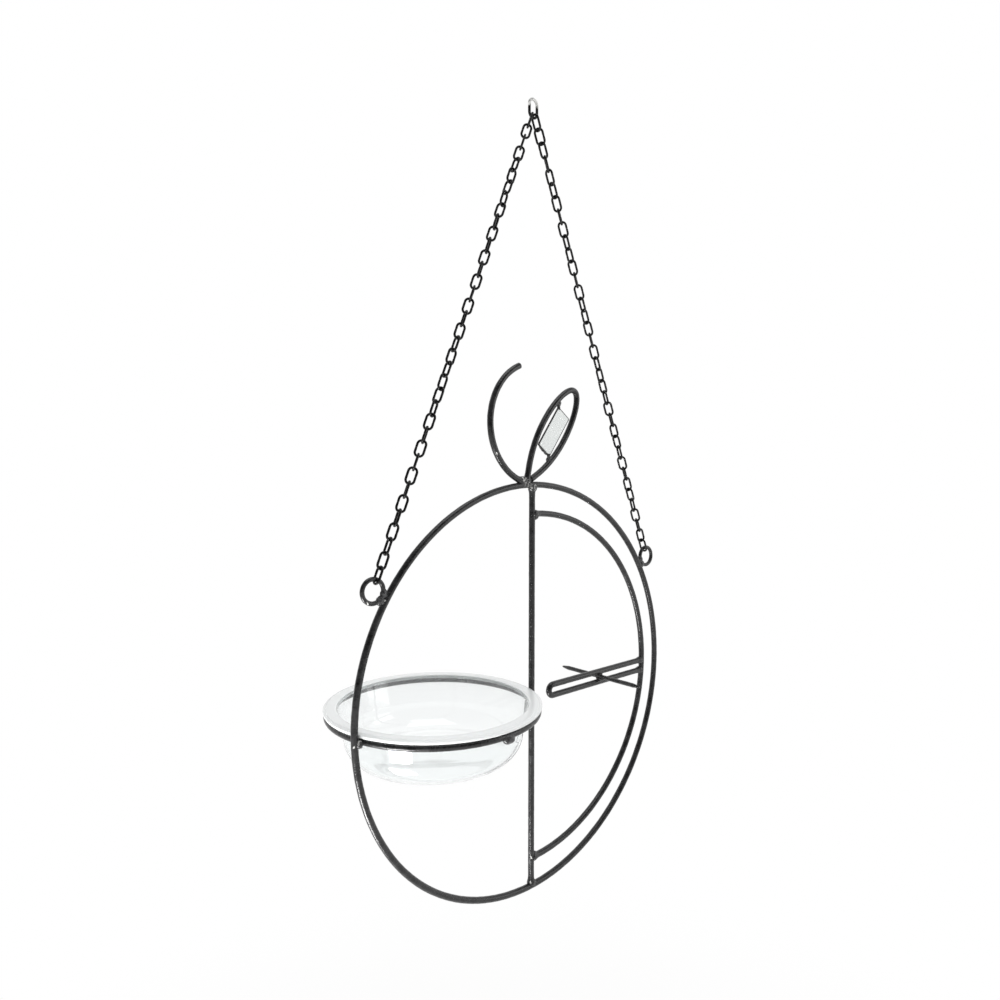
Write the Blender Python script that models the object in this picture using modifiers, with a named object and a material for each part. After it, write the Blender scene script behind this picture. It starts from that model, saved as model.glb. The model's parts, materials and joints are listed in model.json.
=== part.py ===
"""Hanging bird fruit feeder: a round wire hoop on two chains, with a bowl ring and a fruit spike.

The origin is the point inside the top of the hang link where a hook carries it. The hoop lies in
the XZ plane, the bowl is on the -X side, the fruit spike on the +X side, and -Y is the front.
"""
import math

import bmesh
import bpy
from mathutils import Vector

MM = 0.001
COLLECTION_NAME = "bird_fruit_feeder"

# Clearances
GAP = 0.3 * MM                    # kept between neighbouring pieces
LINK_BITE = 0.35 * MM             # depth to which two links of one pair are joined
RIM_CLEARANCE = 0.8 * MM          # bowl rim to hoop and post
BODY_CLEARANCE = 3.0 * MM         # bowl wall to the inside of its ring
PLATE_MARGIN = 0.4 * MM           # stub to the corner of the leaf plate

# Frame of welded wire
FRAME_WIRE = 3.5 * MM             # diameter of hoop, post, arc, ring, stem, leaf and arm
HOOP_RADIUS = 120.0 * MM          # to the middle of the wire
ARC_RIGHT = 2.6 * MM              # inner arc's centre from the post's middle
ARC_SPACE = 11.0 * MM             # inner arc's wire to the hoop's, on the right
ARC_RADIUS = HOOP_RADIUS - FRAME_WIRE - ARC_SPACE - ARC_RIGHT
RING_HEIGHT = -3.5 * MM           # bowl ring from the hoop's centre
RING_BACK = 16.0 * MM             # bowl ring's centre behind the hoop's plane
RING_WELD_TURN = math.radians(-88.0)
RING_WELD_SIZE = 4.9 * MM         # butt weld lump on the front of the ring
EYELET_WIRE = 2.4 * MM
EYELET_WIDTH = 14.5 * MM          # outside
EYELET_TURN = math.radians(32.5)  # place round the hoop, above level

# Arm and spike for fruit
ARM_HEIGHT = -5.0 * MM            # middle of the arm from the hoop's centre
ARM_START = 13.0 * MM             # closed end of the arm from the post's middle
SPIKE_PLACE = 61.5 * MM           # spike from the post's middle
SPIKE_WIRE = 2.5 * MM
SPIKE_REACH = 32.0 * MM           # tip from the hoop's plane, front and back
SPIKE_TAPER = 5.0 * MM
SPIKE_TIP = 1.0 * MM

# Stem and leaf on top of the hoop
STEM_RADIUS = 35.1 * MM
STEM_CENTRE_X = 2.6 * MM
STEM_CENTRE_UP = 35.5 * MM        # above the top of the hoop's wire circle
STEM_TIP_TURN = math.radians(112.0)
STEM_BASE_TURN = math.radians(247.0)
LEAF_LENGTH = 65.0 * MM
LEAF_HALF_WIDTH = 10.4 * MM
LEAF_LEAN = math.radians(53.4)    # leaf's length above level
LEAF_BASE_X = -2.3 * MM
LEAF_BASE_UP = 4.2 * MM
LEAF_NARROWING = 0.4              # share of the width lost towards the base
LEAF_NARROWING_POWER = 4          # how late along the leaf that loss sets in
LEAF_END_TURN = math.radians(145.0)
PLATE_LENGTH = 0.427 * LEAF_LENGTH
PLATE_WIDTH = 1.046 * LEAF_HALF_WIDTH
PLATE_THICK = 1.2 * MM
PLATE_PLACE = 0.522 * LEAF_LENGTH  # plate's middle along the leaf
STUB_WIRE = 1.8 * MM
STUB_SLANT = math.radians(42.0)   # stub's slope away from the leaf's length
STUB_STEP = 0.02 * MM             # fineness with which a stub's length is found

# Bowl
RIM_THICK = 2.2 * MM
RIM_ROUND = 0.6 * MM
BOWL_DEPTH = 31.0 * MM            # rim's top to the underside
BOWL_WALL = 1.2 * MM              # thin moulded plastic
BOWL_TAPER = 4.0 * MM             # wall's lean from top to bottom corner
BOWL_CORNER = 15.0 * MM           # outside bend between wall and base

# Chains
LINK_WIRE = 1.3 * MM
LINK_LENGTH = 10.1 * MM           # outside
LINK_WIDTH = 5.8 * MM             # outside
PAIRS_HEAD = 2                    # pairs of links above the upper fold
PAIRS_UPPER = 8                   # pairs between the two folds
PAIRS_LOWER = 8                   # pairs below the lower fold
HANG_WIRE = 1.6 * MM
HANG_LENGTH = 12.0 * MM           # outside
HANG_WIDTH = 7.6 * MM             # outside

# Twist of each chain in degrees, against the number of links above the eyelet
LEFT_TWIST = ((0, 0), (10, -44), (15, -90), (16, -90), (22, -134), (27, -140), (31, -180), (36, -180))
RIGHT_TWIST = ((0, 0), (15, -270), (16, -270), (31, -540), (36, -540))

# Facets
WIRE_SIDES = 8
LINK_SIDES = 6
LINK_BEND_STEPS = 4
HANG_BEND_STEPS = 6
HOOP_STEPS = 60
ARC_STEPS = 32
RING_STEPS = 40
EYELET_STEPS = 18
STEM_STEPS = 12
LEAF_STEPS = 32
ARM_BEND_STEPS = 8
BOWL_STEPS = 40
CORNER_STEPS = 4
LEAF_FINE_STEPS = 400             # for measuring the distance to the leaf's wire
SEAT_ROUNDS = 20                  # for finding where a wire's end meets the hoop
SEAT_SLOPE_MIN = 0.2
MERGE_DISTANCE = 0.001 * MM
AXIS_MERGE_DISTANCE = 0.01 * MM

LEFT = -1
RIGHT = 1
SIDE_NAMES = {LEFT: "left", RIGHT: "right"}
TWISTS = {LEFT: LEFT_TWIST, RIGHT: RIGHT_TWIST}

for leftover in list(bpy.data.objects):
    bpy.data.objects.remove(leftover, do_unlink=True)

feeder = bpy.data.collections.new(COLLECTION_NAME)
bpy.context.scene.collection.children.link(feeder)


def make_material(name, colour, roughness, metallic, transmission=0.0):
    """Return a plain Principled material."""
    material = bpy.data.materials.new(name)
    material.use_nodes = True
    shader = material.node_tree.nodes["Principled BSDF"]
    shader.inputs["Base Color"].default_value = (*colour, 1.0)
    shader.inputs["Roughness"].default_value = roughness
    shader.inputs["Metallic"].default_value = metallic
    shader.inputs["Transmission Weight"].default_value = transmission
    return material


FRAME_COAT = make_material("grey_powder_coat", (0.05, 0.05, 0.05), 0.45, 0.0)
CHAIN_COAT = make_material("black_coated_chain", (0.02, 0.02, 0.02), 0.3, 0.0)
CLEAR_PLASTIC = make_material("clear_plastic", (0.95, 0.97, 0.97), 0.05, 0.0, 1.0)
PALE_ENAMEL = make_material("pale_enamel", (0.85, 0.85, 0.83), 0.35, 0.0)


def finish(name, mesh, material):
    """Close and orient a mesh, shade it smooth and give it an object in the collection."""
    work = bmesh.new()
    work.from_mesh(mesh)
    bmesh.ops.remove_doubles(work, verts=work.verts, dist=MERGE_DISTANCE)
    bmesh.ops.recalc_face_normals(work, faces=work.faces)
    work.to_mesh(mesh)
    work.free()
    mesh.name = name
    mesh.materials.clear()
    mesh.materials.append(material)
    mesh.polygons.foreach_set("use_smooth", [True] * len(mesh.polygons))
    piece = bpy.data.objects.new(name, mesh)
    feeder.objects.link(piece)
    return piece


def evaluated_mesh(source):
    """Return the mesh of an object with its modifiers or bevel applied, and remove the object."""
    graph = bpy.context.evaluated_depsgraph_get()
    mesh = bpy.data.meshes.new_from_object(source.evaluated_get(graph), depsgraph=graph)
    bpy.data.objects.remove(source, do_unlink=True)
    return mesh


def wire(name, points, diameter, material, closed=False, sides=WIRE_SIDES, thickness=None):
    """Return a round wire along the points; thickness gives each point a share of the diameter."""
    curve = bpy.data.curves.new(name, "CURVE")
    curve.dimensions = "3D"
    curve.bevel_depth = diameter / 2
    curve.bevel_resolution = (sides - 4) // 2
    curve.use_fill_caps = not closed
    spline = curve.splines.new("POLY")
    spline.points.add(len(points) - 1)
    for index, (spot, place) in enumerate(zip(spline.points, points)):
        spot.co = (*place, 1.0)
        spot.radius = 1.0 if thickness is None else thickness[index]
    spline.use_cyclic_u = closed
    source = bpy.data.objects.new(name, curve)
    feeder.objects.link(source)
    return finish(name, evaluated_mesh(source), material)


def joined(name, first, second, material):
    """Return one closed piece made of two pieces that bite into each other."""
    union = first.modifiers.new("union", "BOOLEAN")
    union.operation = "UNION"
    union.solver = "EXACT"
    union.object = second
    mesh = evaluated_mesh(first)
    bpy.data.objects.remove(second, do_unlink=True)
    return finish(name, mesh, material)


def round_points(centre, radius, start, end, steps):
    """Return points on an arc in the XZ plane, its turns counted from +X towards +Z."""
    turns = [start + (end - start) * step / steps for step in range(steps + 1)]
    return [centre + radius * Vector((math.cos(turn), 0.0, math.sin(turn))) for turn in turns]


def oval_points(length, width, diameter, steps):
    """Return (across, along) points round the middle of a link's wire."""
    bend = (width - diameter) / 2
    straight = (length - diameter) / 2 - bend
    points = []
    for end in (1, -1):
        for step in range(steps + 1):
            turn = math.pi * step / steps
            points.append((end * bend * math.cos(turn), end * (straight + bend * math.sin(turn))))
    return points


def twist_at(keys, above):
    """Return the twist in degrees at a number of links above the eyelet, straight between keys."""
    for (low, low_turn), (high, high_turn) in zip(keys, keys[1:]):
        if above <= high:
            return low_turn + (high_turn - low_turn) * (above - low) / (high - low)
    return keys[-1][1]


# Hang link
hang_inner = HANG_WIDTH / 2 - HANG_WIRE
hang_middle = HANG_WIRE - HANG_LENGTH / 2
hang_bend = Vector((0.0, 0.0, 2 * HANG_WIRE - HANG_LENGTH + hang_inner))
hang_points = [
    Vector((across, 0.0, hang_middle + along))
    for across, along in oval_points(HANG_LENGTH, HANG_WIDTH, HANG_WIRE, HANG_BEND_STEPS)
]
hang_link = wire("hang_link", hang_points, HANG_WIRE, CHAIN_COAT, closed=True)

# Where the chains start in the hang link, and how long they are
seat_reach = hang_inner - LINK_WIRE / 2 - GAP
seat_half = (LINK_WIRE + GAP) / 2
seat_drop = math.sqrt(seat_reach ** 2 - seat_half ** 2)
link_count = 1 + 2 * (PAIRS_HEAD + PAIRS_UPPER + PAIRS_LOWER)
fused_count = PAIRS_HEAD + PAIRS_UPPER + PAIRS_LOWER
link_pitch = LINK_LENGTH - 2 * LINK_WIRE
chain_length = (
    link_count * (LINK_LENGTH - LINK_WIRE) - (link_count - 1) * LINK_WIRE
    - fused_count * GAP + fused_count * LINK_BITE
)

# The hoop's height follows from the chains
eyelet_bend = (EYELET_WIDTH - EYELET_WIRE) / 2
eyelet_reach = HOOP_RADIUS + FRAME_WIRE / 2 + GAP + EYELET_WIDTH / 2
eyelet_x = eyelet_reach * math.cos(EYELET_TURN)
eyelet_up = eyelet_reach * math.sin(EYELET_TURN)
hook_depth = eyelet_bend - EYELET_WIRE / 2 - LINK_WIRE / 2 - GAP
chain_span = chain_length + hook_depth
chain_fall = math.sqrt(chain_span ** 2 - (eyelet_x - seat_half) ** 2)
HOOP_CENTRE = Vector((0.0, 0.0, hang_bend.z - seat_drop - chain_fall - eyelet_up))

# Hoop, post and inner arc
hoop_points = round_points(HOOP_CENTRE, HOOP_RADIUS, 0.0, 2 * math.pi, HOOP_STEPS)[:-1]
hoop = wire("hoop", hoop_points, FRAME_WIRE, FRAME_COAT, closed=True)
post_reach = Vector((0.0, 0.0, HOOP_RADIUS - FRAME_WIRE / 2 - GAP))
post = wire("centre_post", [HOOP_CENTRE + post_reach, HOOP_CENTRE - post_reach], FRAME_WIRE, FRAME_COAT)
arc_centre = HOOP_CENTRE + Vector((ARC_RIGHT, 0.0, 0.0))
arc_turn = math.acos((FRAME_WIRE / 2 + GAP - ARC_RIGHT) / ARC_RADIUS)
arc_points = round_points(arc_centre, ARC_RADIUS, arc_turn, -arc_turn, ARC_STEPS)
inner_arc = wire("inner_arc", arc_points, FRAME_WIRE, FRAME_COAT)

# Bowl ring with its butt weld, behind the hoop's plane so that hoop and post carry it
ring_x = -math.sqrt(HOOP_RADIUS ** 2 - RING_HEIGHT ** 2) / 2
ring_centre = HOOP_CENTRE + Vector((ring_x, RING_BACK, RING_HEIGHT))
ring_reach = math.hypot(ring_x, RING_BACK)
ring_radius = ring_reach - FRAME_WIRE - GAP
ring_points = [
    ring_centre + ring_radius * Vector((math.cos(turn), math.sin(turn), 0.0))
    for turn in (2 * math.pi * step / RING_STEPS for step in range(RING_STEPS))
]
plain_ring = wire("plain_ring", ring_points, FRAME_WIRE, FRAME_COAT, closed=True)
weld_drop = (RING_WELD_SIZE - FRAME_WIRE) / 2
weld_spot = ring_centre + ring_radius * Vector((math.cos(RING_WELD_TURN), math.sin(RING_WELD_TURN), 0.0))
weld_spot.z -= weld_drop
bpy.ops.mesh.primitive_ico_sphere_add(subdivisions=2, radius=RING_WELD_SIZE / 2, location=weld_spot)
weld_lump = bpy.context.object
ring = joined("bowl_ring", plain_ring, weld_lump, FRAME_COAT)

# Eyelets
eyelets = []
for side in (LEFT, RIGHT):
    eyelet_centre = HOOP_CENTRE + Vector((side * eyelet_x, 0.0, eyelet_up))
    eyelet_points = round_points(eyelet_centre, eyelet_bend, 0.0, 2 * math.pi, EYELET_STEPS)[:-1]
    eyelet_name = "eyelet_" + SIDE_NAMES[side]
    eyelets.append(wire(eyelet_name, eyelet_points, EYELET_WIRE, FRAME_COAT, closed=True))

# Fruit arm: one wire bent to a hairpin, its slot just wider than the spike
arm_bend = (SPIKE_WIRE + FRAME_WIRE) / 2 + GAP
arm_centre = HOOP_CENTRE + Vector((ARM_START + arm_bend + FRAME_WIRE / 2, 0.0, ARM_HEIGHT))
arm_seat = ARC_RADIUS - FRAME_WIRE / 2 - GAP


def arm_end(height):
    """Return the arm's end beside the inner arc at a height above the hoop's centre."""
    lowest = abs(height) + FRAME_WIRE / 2
    return arc_centre + Vector((math.sqrt(arm_seat ** 2 - lowest ** 2), 0.0, height))


arm_points = round_points(arm_centre, arm_bend, math.pi / 2, 3 * math.pi / 2, ARM_BEND_STEPS)
arm_points = [arm_end(ARM_HEIGHT + arm_bend)] + arm_points + [arm_end(ARM_HEIGHT - arm_bend)]
fruit_arm = wire("fruit_arm", arm_points, FRAME_WIRE, FRAME_COAT)

# Spike through the arm's slot, pointed at both ends
spike_middle = HOOP_CENTRE + Vector((SPIKE_PLACE, 0.0, ARM_HEIGHT))
spike_marks = (-SPIKE_REACH, SPIKE_TAPER - SPIKE_REACH, SPIKE_REACH - SPIKE_TAPER, SPIKE_REACH)
spike_points = [spike_middle + Vector((0.0, mark, 0.0)) for mark in spike_marks]
spike_shares = (SPIKE_TIP / SPIKE_WIRE, 1.0, 1.0, SPIKE_TIP / SPIKE_WIRE)
fruit_spike = wire("fruit_spike", spike_points, SPIKE_WIRE, FRAME_COAT, thickness=spike_shares)


def seated(outer, inner):
    """Return the point, on the line through two points, where a wire's end just clears the hoop."""
    run = (inner - outer).normalized()
    place = Vector(inner)
    level = abs(run.cross((place - HOOP_CENTRE).normalized()).length)
    seat = HOOP_RADIUS + FRAME_WIRE / 2 + GAP + level * FRAME_WIRE / 2
    for _ in range(SEAT_ROUNDS):
        short = (place - HOOP_CENTRE).length - seat
        place += run * short / max(SEAT_SLOPE_MIN, -run.dot((place - HOOP_CENTRE).normalized()))
    return place


# Stem
stem_centre = HOOP_CENTRE + Vector((STEM_CENTRE_X, 0.0, HOOP_RADIUS + STEM_CENTRE_UP))
stem_points = round_points(stem_centre, STEM_RADIUS, STEM_TIP_TURN, STEM_BASE_TURN, STEM_STEPS)
stem_points[-1] = seated(stem_points[-2], stem_points[-1])
stem = wire("stem", stem_points, FRAME_WIRE, FRAME_COAT)

# Leaf: an ellipse that narrows towards the stem
leaf_along = Vector((math.cos(LEAF_LEAN), 0.0, math.sin(LEAF_LEAN)))
leaf_across = Vector((-math.sin(LEAF_LEAN), 0.0, math.cos(LEAF_LEAN)))
leaf_base = HOOP_CENTRE + Vector((LEAF_BASE_X, 0.0, HOOP_RADIUS + LEAF_BASE_UP))


def leaf_half_width(turn):
    """Return the leaf wire's distance from the leaf's middle line at a turn from the tip."""
    narrowed = 1 - LEAF_NARROWING * ((1 - math.cos(turn)) / 2) ** LEAF_NARROWING_POWER
    return LEAF_HALF_WIDTH * math.sin(turn) * narrowed


def leaf_point(turn):
    """Return a point of the leaf's wire at a turn from the tip."""
    reach = LEAF_LENGTH * (1 + math.cos(turn)) / 2
    return leaf_base + leaf_along * reach + leaf_across * leaf_half_width(turn)


leaf_turns = [LEAF_END_TURN * (1 - 2 * step / LEAF_STEPS) for step in range(LEAF_STEPS + 1)]
leaf_points = [leaf_point(turn) for turn in leaf_turns]
leaf_points[0] = seated(leaf_points[1], leaf_points[0])
leaf_points[-1] = seated(leaf_points[-2], leaf_points[-1])
leaf = wire("leaf", leaf_points, FRAME_WIRE, FRAME_COAT)

# Bare plate in the leaf, on two slanting stubs at opposite corners
plate_centre = leaf_base + leaf_along * PLATE_PLACE
bpy.ops.mesh.primitive_cube_add(size=1.0)
plate_block = bpy.context.object
plate_mesh = plate_block.data
bpy.data.objects.remove(plate_block, do_unlink=True)
for corner in plate_mesh.vertices:
    along, deep, across = corner.co
    place = leaf_along * along * PLATE_LENGTH + leaf_across * across * PLATE_WIDTH
    corner.co = plate_centre + place + Vector((0.0, deep * PLATE_THICK, 0.0))
leaf_plate = finish("leaf_plate", plate_mesh, PALE_ENAMEL)
leaf_plate.data.polygons.foreach_set("use_smooth", [False] * len(leaf_plate.data.polygons))

fine_turns = [LEAF_END_TURN * (1 - 2 * step / LEAF_FINE_STEPS) for step in range(LEAF_FINE_STEPS + 1)]
fine_leaf = [leaf_point(turn) for turn in fine_turns]


def stub(name, end):
    """Return the stub at one end of the plate; end is +1 towards the leaf's tip and -1 towards its base."""
    run = end * (leaf_along * math.cos(STUB_SLANT) + leaf_across * math.sin(STUB_SLANT))
    half = STUB_WIRE / 2
    ahead = PLATE_LENGTH / 2 + GAP + half * math.sin(STUB_SLANT)
    aside = PLATE_WIDTH / 2 - PLATE_MARGIN - half * math.cos(STUB_SLANT)
    start = plate_centre + end * (leaf_along * ahead + leaf_across * aside)
    need = FRAME_WIRE / 2 + GAP + half
    length = 0.0
    while min((start + run * (length + STUB_STEP) - point).length for point in fine_leaf) > need:
        length += STUB_STEP
    return wire(name, [start, start + run * length], STUB_WIRE, FRAME_COAT)


stub_upper = stub("plate_stub_upper", 1)
stub_lower = stub("plate_stub_lower", -1)

# Bowl: a turned dish whose flat rim lies on the ring
rim_radius = ring_reach - FRAME_WIRE / 2 - RIM_CLEARANCE
rim_under = RING_HEIGHT + FRAME_WIRE / 2 + GAP
rim_top = rim_under + RIM_THICK
body_radius = ring_radius - FRAME_WIRE / 2 - BODY_CLEARANCE
foot_level = rim_top - BOWL_DEPTH
foot_radius = body_radius - BOWL_TAPER - BOWL_CORNER


def corner_points(bend, low):
    """Return (radius, height) points round the bottom corner, from the wall to the base."""
    turns = [math.pi / 2 * step / CORNER_STEPS for step in range(CORNER_STEPS + 1)]
    middle = low + bend
    return [(foot_radius + bend * math.cos(turn), middle - bend * math.sin(turn)) for turn in turns]


inner_corner = corner_points(BOWL_CORNER - BOWL_WALL, foot_level + BOWL_WALL)
outer_corner = corner_points(BOWL_CORNER, foot_level)
bowl_profile = [(0.0, foot_level + BOWL_WALL)]
bowl_profile += inner_corner[::-1]
bowl_profile += [
    (body_radius - BOWL_WALL - RIM_ROUND / 2, rim_top - 2 * RIM_ROUND),
    (body_radius - BOWL_WALL + RIM_ROUND, rim_top),
    (rim_radius - RIM_ROUND, rim_top),
    (rim_radius, rim_top - RIM_ROUND),
    (rim_radius, rim_under + RIM_ROUND),
    (rim_radius - RIM_ROUND, rim_under),
    (body_radius, rim_under),
]
bowl_profile += outer_corner
bowl_profile.append((0.0, foot_level))
bowl_mesh = bpy.data.meshes.new("bowl_profile")
bowl_mesh.from_pydata(
    [(radius, 0.0, height) for radius, height in bowl_profile],
    [(index, index + 1) for index in range(len(bowl_profile) - 1)],
    [],
)
bowl_source = bpy.data.objects.new("bowl_source", bowl_mesh)
feeder.objects.link(bowl_source)
turning = bowl_source.modifiers.new("turning", "SCREW")
turning.steps = BOWL_STEPS
turning.render_steps = BOWL_STEPS
turning.use_merge_vertices = True
turning.merge_threshold = AXIS_MERGE_DISTANCE
turned_bowl = evaluated_mesh(bowl_source)
for spot in turned_bowl.vertices:
    spot.co += HOOP_CENTRE + Vector((ring_x, RING_BACK, 0.0))
bowl = finish("bowl", turned_bowl, CLEAR_PLASTIC)

# Chains: a single link in the hang link, then joined pairs down to each eyelet
link_oval = oval_points(LINK_LENGTH, LINK_WIDTH, LINK_WIRE, LINK_BEND_STEPS)
half_reach = (LINK_LENGTH - LINK_WIRE) / 2
chain_heads = []
chain_pairs = {LEFT: [], RIGHT: []}
bar_above_heights = {}
bar_below_heights = {}


def chain_link(name, side, up, middle, above):
    """Return one link of a chain, turned by the chain's twist at its place above the eyelet."""
    turn = math.radians(90 * above + twist_at(TWISTS[side], above))
    level = Vector((up.z, 0.0, -up.x))
    across = Vector((0.0, -1.0, 0.0)) * math.cos(turn) + level * math.sin(turn)
    points = [middle + across * wide + up * long for wide, long in link_oval]
    return wire(name, points, LINK_WIRE, CHAIN_COAT, closed=True, sides=LINK_SIDES)


for side in (LEFT, RIGHT):
    chain_top = Vector((side * seat_half, 0.0, hang_bend.z - seat_drop))
    eyelet_centre = HOOP_CENTRE + Vector((side * eyelet_x, 0.0, eyelet_up))
    up = (chain_top - eyelet_centre).normalized()
    middle = chain_top - up * half_reach
    head_name = "chain_{}_head".format(SIDE_NAMES[side])
    chain_heads.append(chain_link(head_name, side, up, middle, link_count - 1))
    for pair in range(fused_count):
        pair_name = "chain_{}_pair_{:02d}".format(SIDE_NAMES[side], pair + 1)
        above = link_count - 2 - 2 * pair
        middle = middle - up * (link_pitch - GAP)
        bar_below_heights[pair] = (middle + up * half_reach).z
        bar_above_heights[pair] = (middle + up * (half_reach - LINK_WIRE - GAP)).z
        first = chain_link(pair_name + "_a", side, up, middle, above)
        middle = middle - up * (link_pitch + LINK_BITE)
        second = chain_link(pair_name + "_b", side, up, middle, above - 1)
        chain_pairs[side].append(joined(pair_name, first, second, CHAIN_COAT))


# Pivots: each moving group of pieces hangs on an empty that lies on its joint's axis
def pivot(name, place, parent):
    """Return an empty at a joint, on the empty of the joint above it."""
    empty = bpy.data.objects.new(name, None)
    empty.empty_display_size = HANG_LENGTH
    empty.location = place
    feeder.objects.link(empty)
    bpy.context.view_layer.update()
    if parent is not None:
        hang_on(empty, parent)
    return empty


def hang_on(piece, empty):
    """Parent a piece to an empty and keep it where it is."""
    piece.parent = empty
    piece.matrix_parent_inverse = empty.matrix_world.inverted()


# A fold turns on the bar of whichever of its two links lies level along X
upper_end = PAIRS_HEAD + PAIRS_UPPER
swing_place = hang_bend
upper_fold_place = Vector((0.0, 0.0, bar_below_heights[PAIRS_HEAD]))
lower_fold_place = Vector((0.0, 0.0, bar_above_heights[upper_end]))
rock_place = HOOP_CENTRE + Vector((0.0, 0.0, eyelet_up + eyelet_bend * up.z))
bowl_place = ring_centre

swing_pivot = pivot("pivot_side_swing", swing_place, None)
upper_pivot = pivot("pivot_upper_fold", upper_fold_place, swing_pivot)
lower_pivot = pivot("pivot_lower_fold", lower_fold_place, upper_pivot)
rock_pivot = pivot("pivot_frame_rock", rock_place, lower_pivot)
bowl_pivot = pivot("pivot_bowl_lift", bowl_place, rock_pivot)

for head in chain_heads:
    hang_on(head, swing_pivot)
for side in (LEFT, RIGHT):
    for index, pair_piece in enumerate(chain_pairs[side]):
        if index < PAIRS_HEAD:
            hang_on(pair_piece, swing_pivot)
        elif index < upper_end:
            hang_on(pair_piece, upper_pivot)
        else:
            hang_on(pair_piece, lower_pivot)
frame_pieces = [hoop, post, inner_arc, ring, *eyelets, fruit_arm, fruit_spike]
frame_pieces += [stem, leaf, leaf_plate, stub_upper, stub_lower]
for frame_piece in frame_pieces:
    hang_on(frame_piece, rock_pivot)
hang_on(bowl, bowl_pivot)

bpy.context.view_layer.update()
print("hoop centre height", round(HOOP_CENTRE.z, 6))
print("side swing axis height", round(swing_place.z, 6))
print("upper fold axis height", round(upper_fold_place.z, 6))
print("lower fold axis height", round(lower_fold_place.z, 6))
print("frame rock axis height", round(rock_place.z, 6))
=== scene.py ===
"""Looks of a hanging bird fruit feeder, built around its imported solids.

A hoop of coated wire hangs on two chains and carries a clear bowl, a fruit spike, a stem and a leaf.
Every piece is a surface worked out with numpy in the part's own frame, in metres: the hoop lies in
the XZ plane, +Z is up, the bowl is on the -X side and -Y is the front.
"""
from __future__ import annotations

import json
import logging
from abc import ABC, abstractmethod
from dataclasses import dataclass, field
from enum import Enum
from typing import Any, Iterable, Sequence

import bpy
import numpy as np
from mathutils import Matrix, Vector

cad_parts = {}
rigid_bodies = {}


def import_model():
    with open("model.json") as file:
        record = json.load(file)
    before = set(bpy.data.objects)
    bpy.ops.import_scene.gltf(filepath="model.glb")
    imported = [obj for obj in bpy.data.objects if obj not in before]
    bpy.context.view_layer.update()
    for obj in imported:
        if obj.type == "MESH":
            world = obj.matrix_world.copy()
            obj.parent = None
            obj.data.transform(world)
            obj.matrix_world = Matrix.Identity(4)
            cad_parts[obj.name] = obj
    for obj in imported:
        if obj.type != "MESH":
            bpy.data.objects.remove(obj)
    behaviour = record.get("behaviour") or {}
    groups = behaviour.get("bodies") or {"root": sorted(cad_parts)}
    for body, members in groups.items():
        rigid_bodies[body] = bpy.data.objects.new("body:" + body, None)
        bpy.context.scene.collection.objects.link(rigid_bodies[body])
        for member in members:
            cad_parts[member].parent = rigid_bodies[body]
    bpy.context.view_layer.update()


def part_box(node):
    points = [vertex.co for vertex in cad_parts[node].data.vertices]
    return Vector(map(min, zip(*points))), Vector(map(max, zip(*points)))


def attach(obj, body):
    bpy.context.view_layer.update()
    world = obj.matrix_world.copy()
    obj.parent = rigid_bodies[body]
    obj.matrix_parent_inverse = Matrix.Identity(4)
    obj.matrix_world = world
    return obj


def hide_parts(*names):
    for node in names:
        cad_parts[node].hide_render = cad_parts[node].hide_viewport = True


Array = np.ndarray
LOG = logging.getLogger("fruit_feeder")

MM = 0.001
FULL_TURN = 2 * np.pi
UP = np.array([0.0, 0.0, 1.0])
ACROSS = np.array([1.0, 0.0, 0.0])
BACK = np.array([0.0, 1.0, 0.0])

GAP = 0.3 * MM              # what the solids keep between touching pieces
WIRE_ROW = 0.5 * MM         # one row of faces along a frame wire
WIRE_SIDES = 20             # columns round a frame wire
STUB_SIDES = 14             # columns round a stub
LINK_SIDES = 12             # columns round a link's wire
EDGE_SIDES = 16             # columns round the section of the plate's edge
EYELET_ROWS = 96            # rows along an eyelet
BOWL_COLUMNS = 160          # columns round the bowl
WELD_SINK = 1.0 * MM        # how far a welded end runs into the wire that carries it
CUT_ROUND = 0.35 * MM       # softened edge of a sawn and coated wire end
POLE_TURN = 0.06            # turn from a bead's pole to its first row, which a small cap closes

Span = tuple[float, float]  # a lowest and a highest value


class Side(Enum):
    """The two sides of the feeder, with their direction along X."""

    LEFT = -1
    RIGHT = 1

    @property
    def word(self) -> str:
        """Return the side's name as node names use it."""
        return self.name.lower()


class Body(Enum):
    """The rigid bodies that pieces ride on."""

    HANGER = "hanger"
    CHAIN_HEAD = "chain_head"
    CHAIN_UPPER = "chain_upper"
    CHAIN_LOWER = "chain_lower"
    FRAME = "frame"
    BOWL = "bowl"


class Slot(Enum):
    """The record's material slots."""

    FRAME = "frame_coat"
    CHAIN = "chain_coat"
    PLATE = "plate_enamel"
    BOWL = "bowl_plastic"


class Mark(Enum):
    """Values that a surface carries at its points for its finish to read."""

    WELD = "weld"
    # painted highlight: thin bright lines near some beads
    CRACK = "crack"
    # painted glints: near-white spots that stand in for highlights
    CHIP = "chip"
    # painted highlight on the hang link's top, where a hook also rubs it
    RUB = "rub"
    FROST = "frost"


def unit(vectors: Array) -> Array:
    """Return vectors divided by their lengths.

    Args:
        vectors: one vector, or an array of them on the last axis.

    Returns:
        Vectors of length 1 in the same arrangement.
    """
    return vectors / np.linalg.norm(vectors, axis=-1, keepdims=True)


def mm(*sizes: float) -> tuple[float, ...]:
    """Return sizes that are given in millimetres as metres."""
    return tuple(size * MM for size in sizes)


# from a wire's middle line to its front left, the side that the camera sees
FRONT_LEFT = unit(np.array([-0.66, -0.75, 0.0]))


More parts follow.
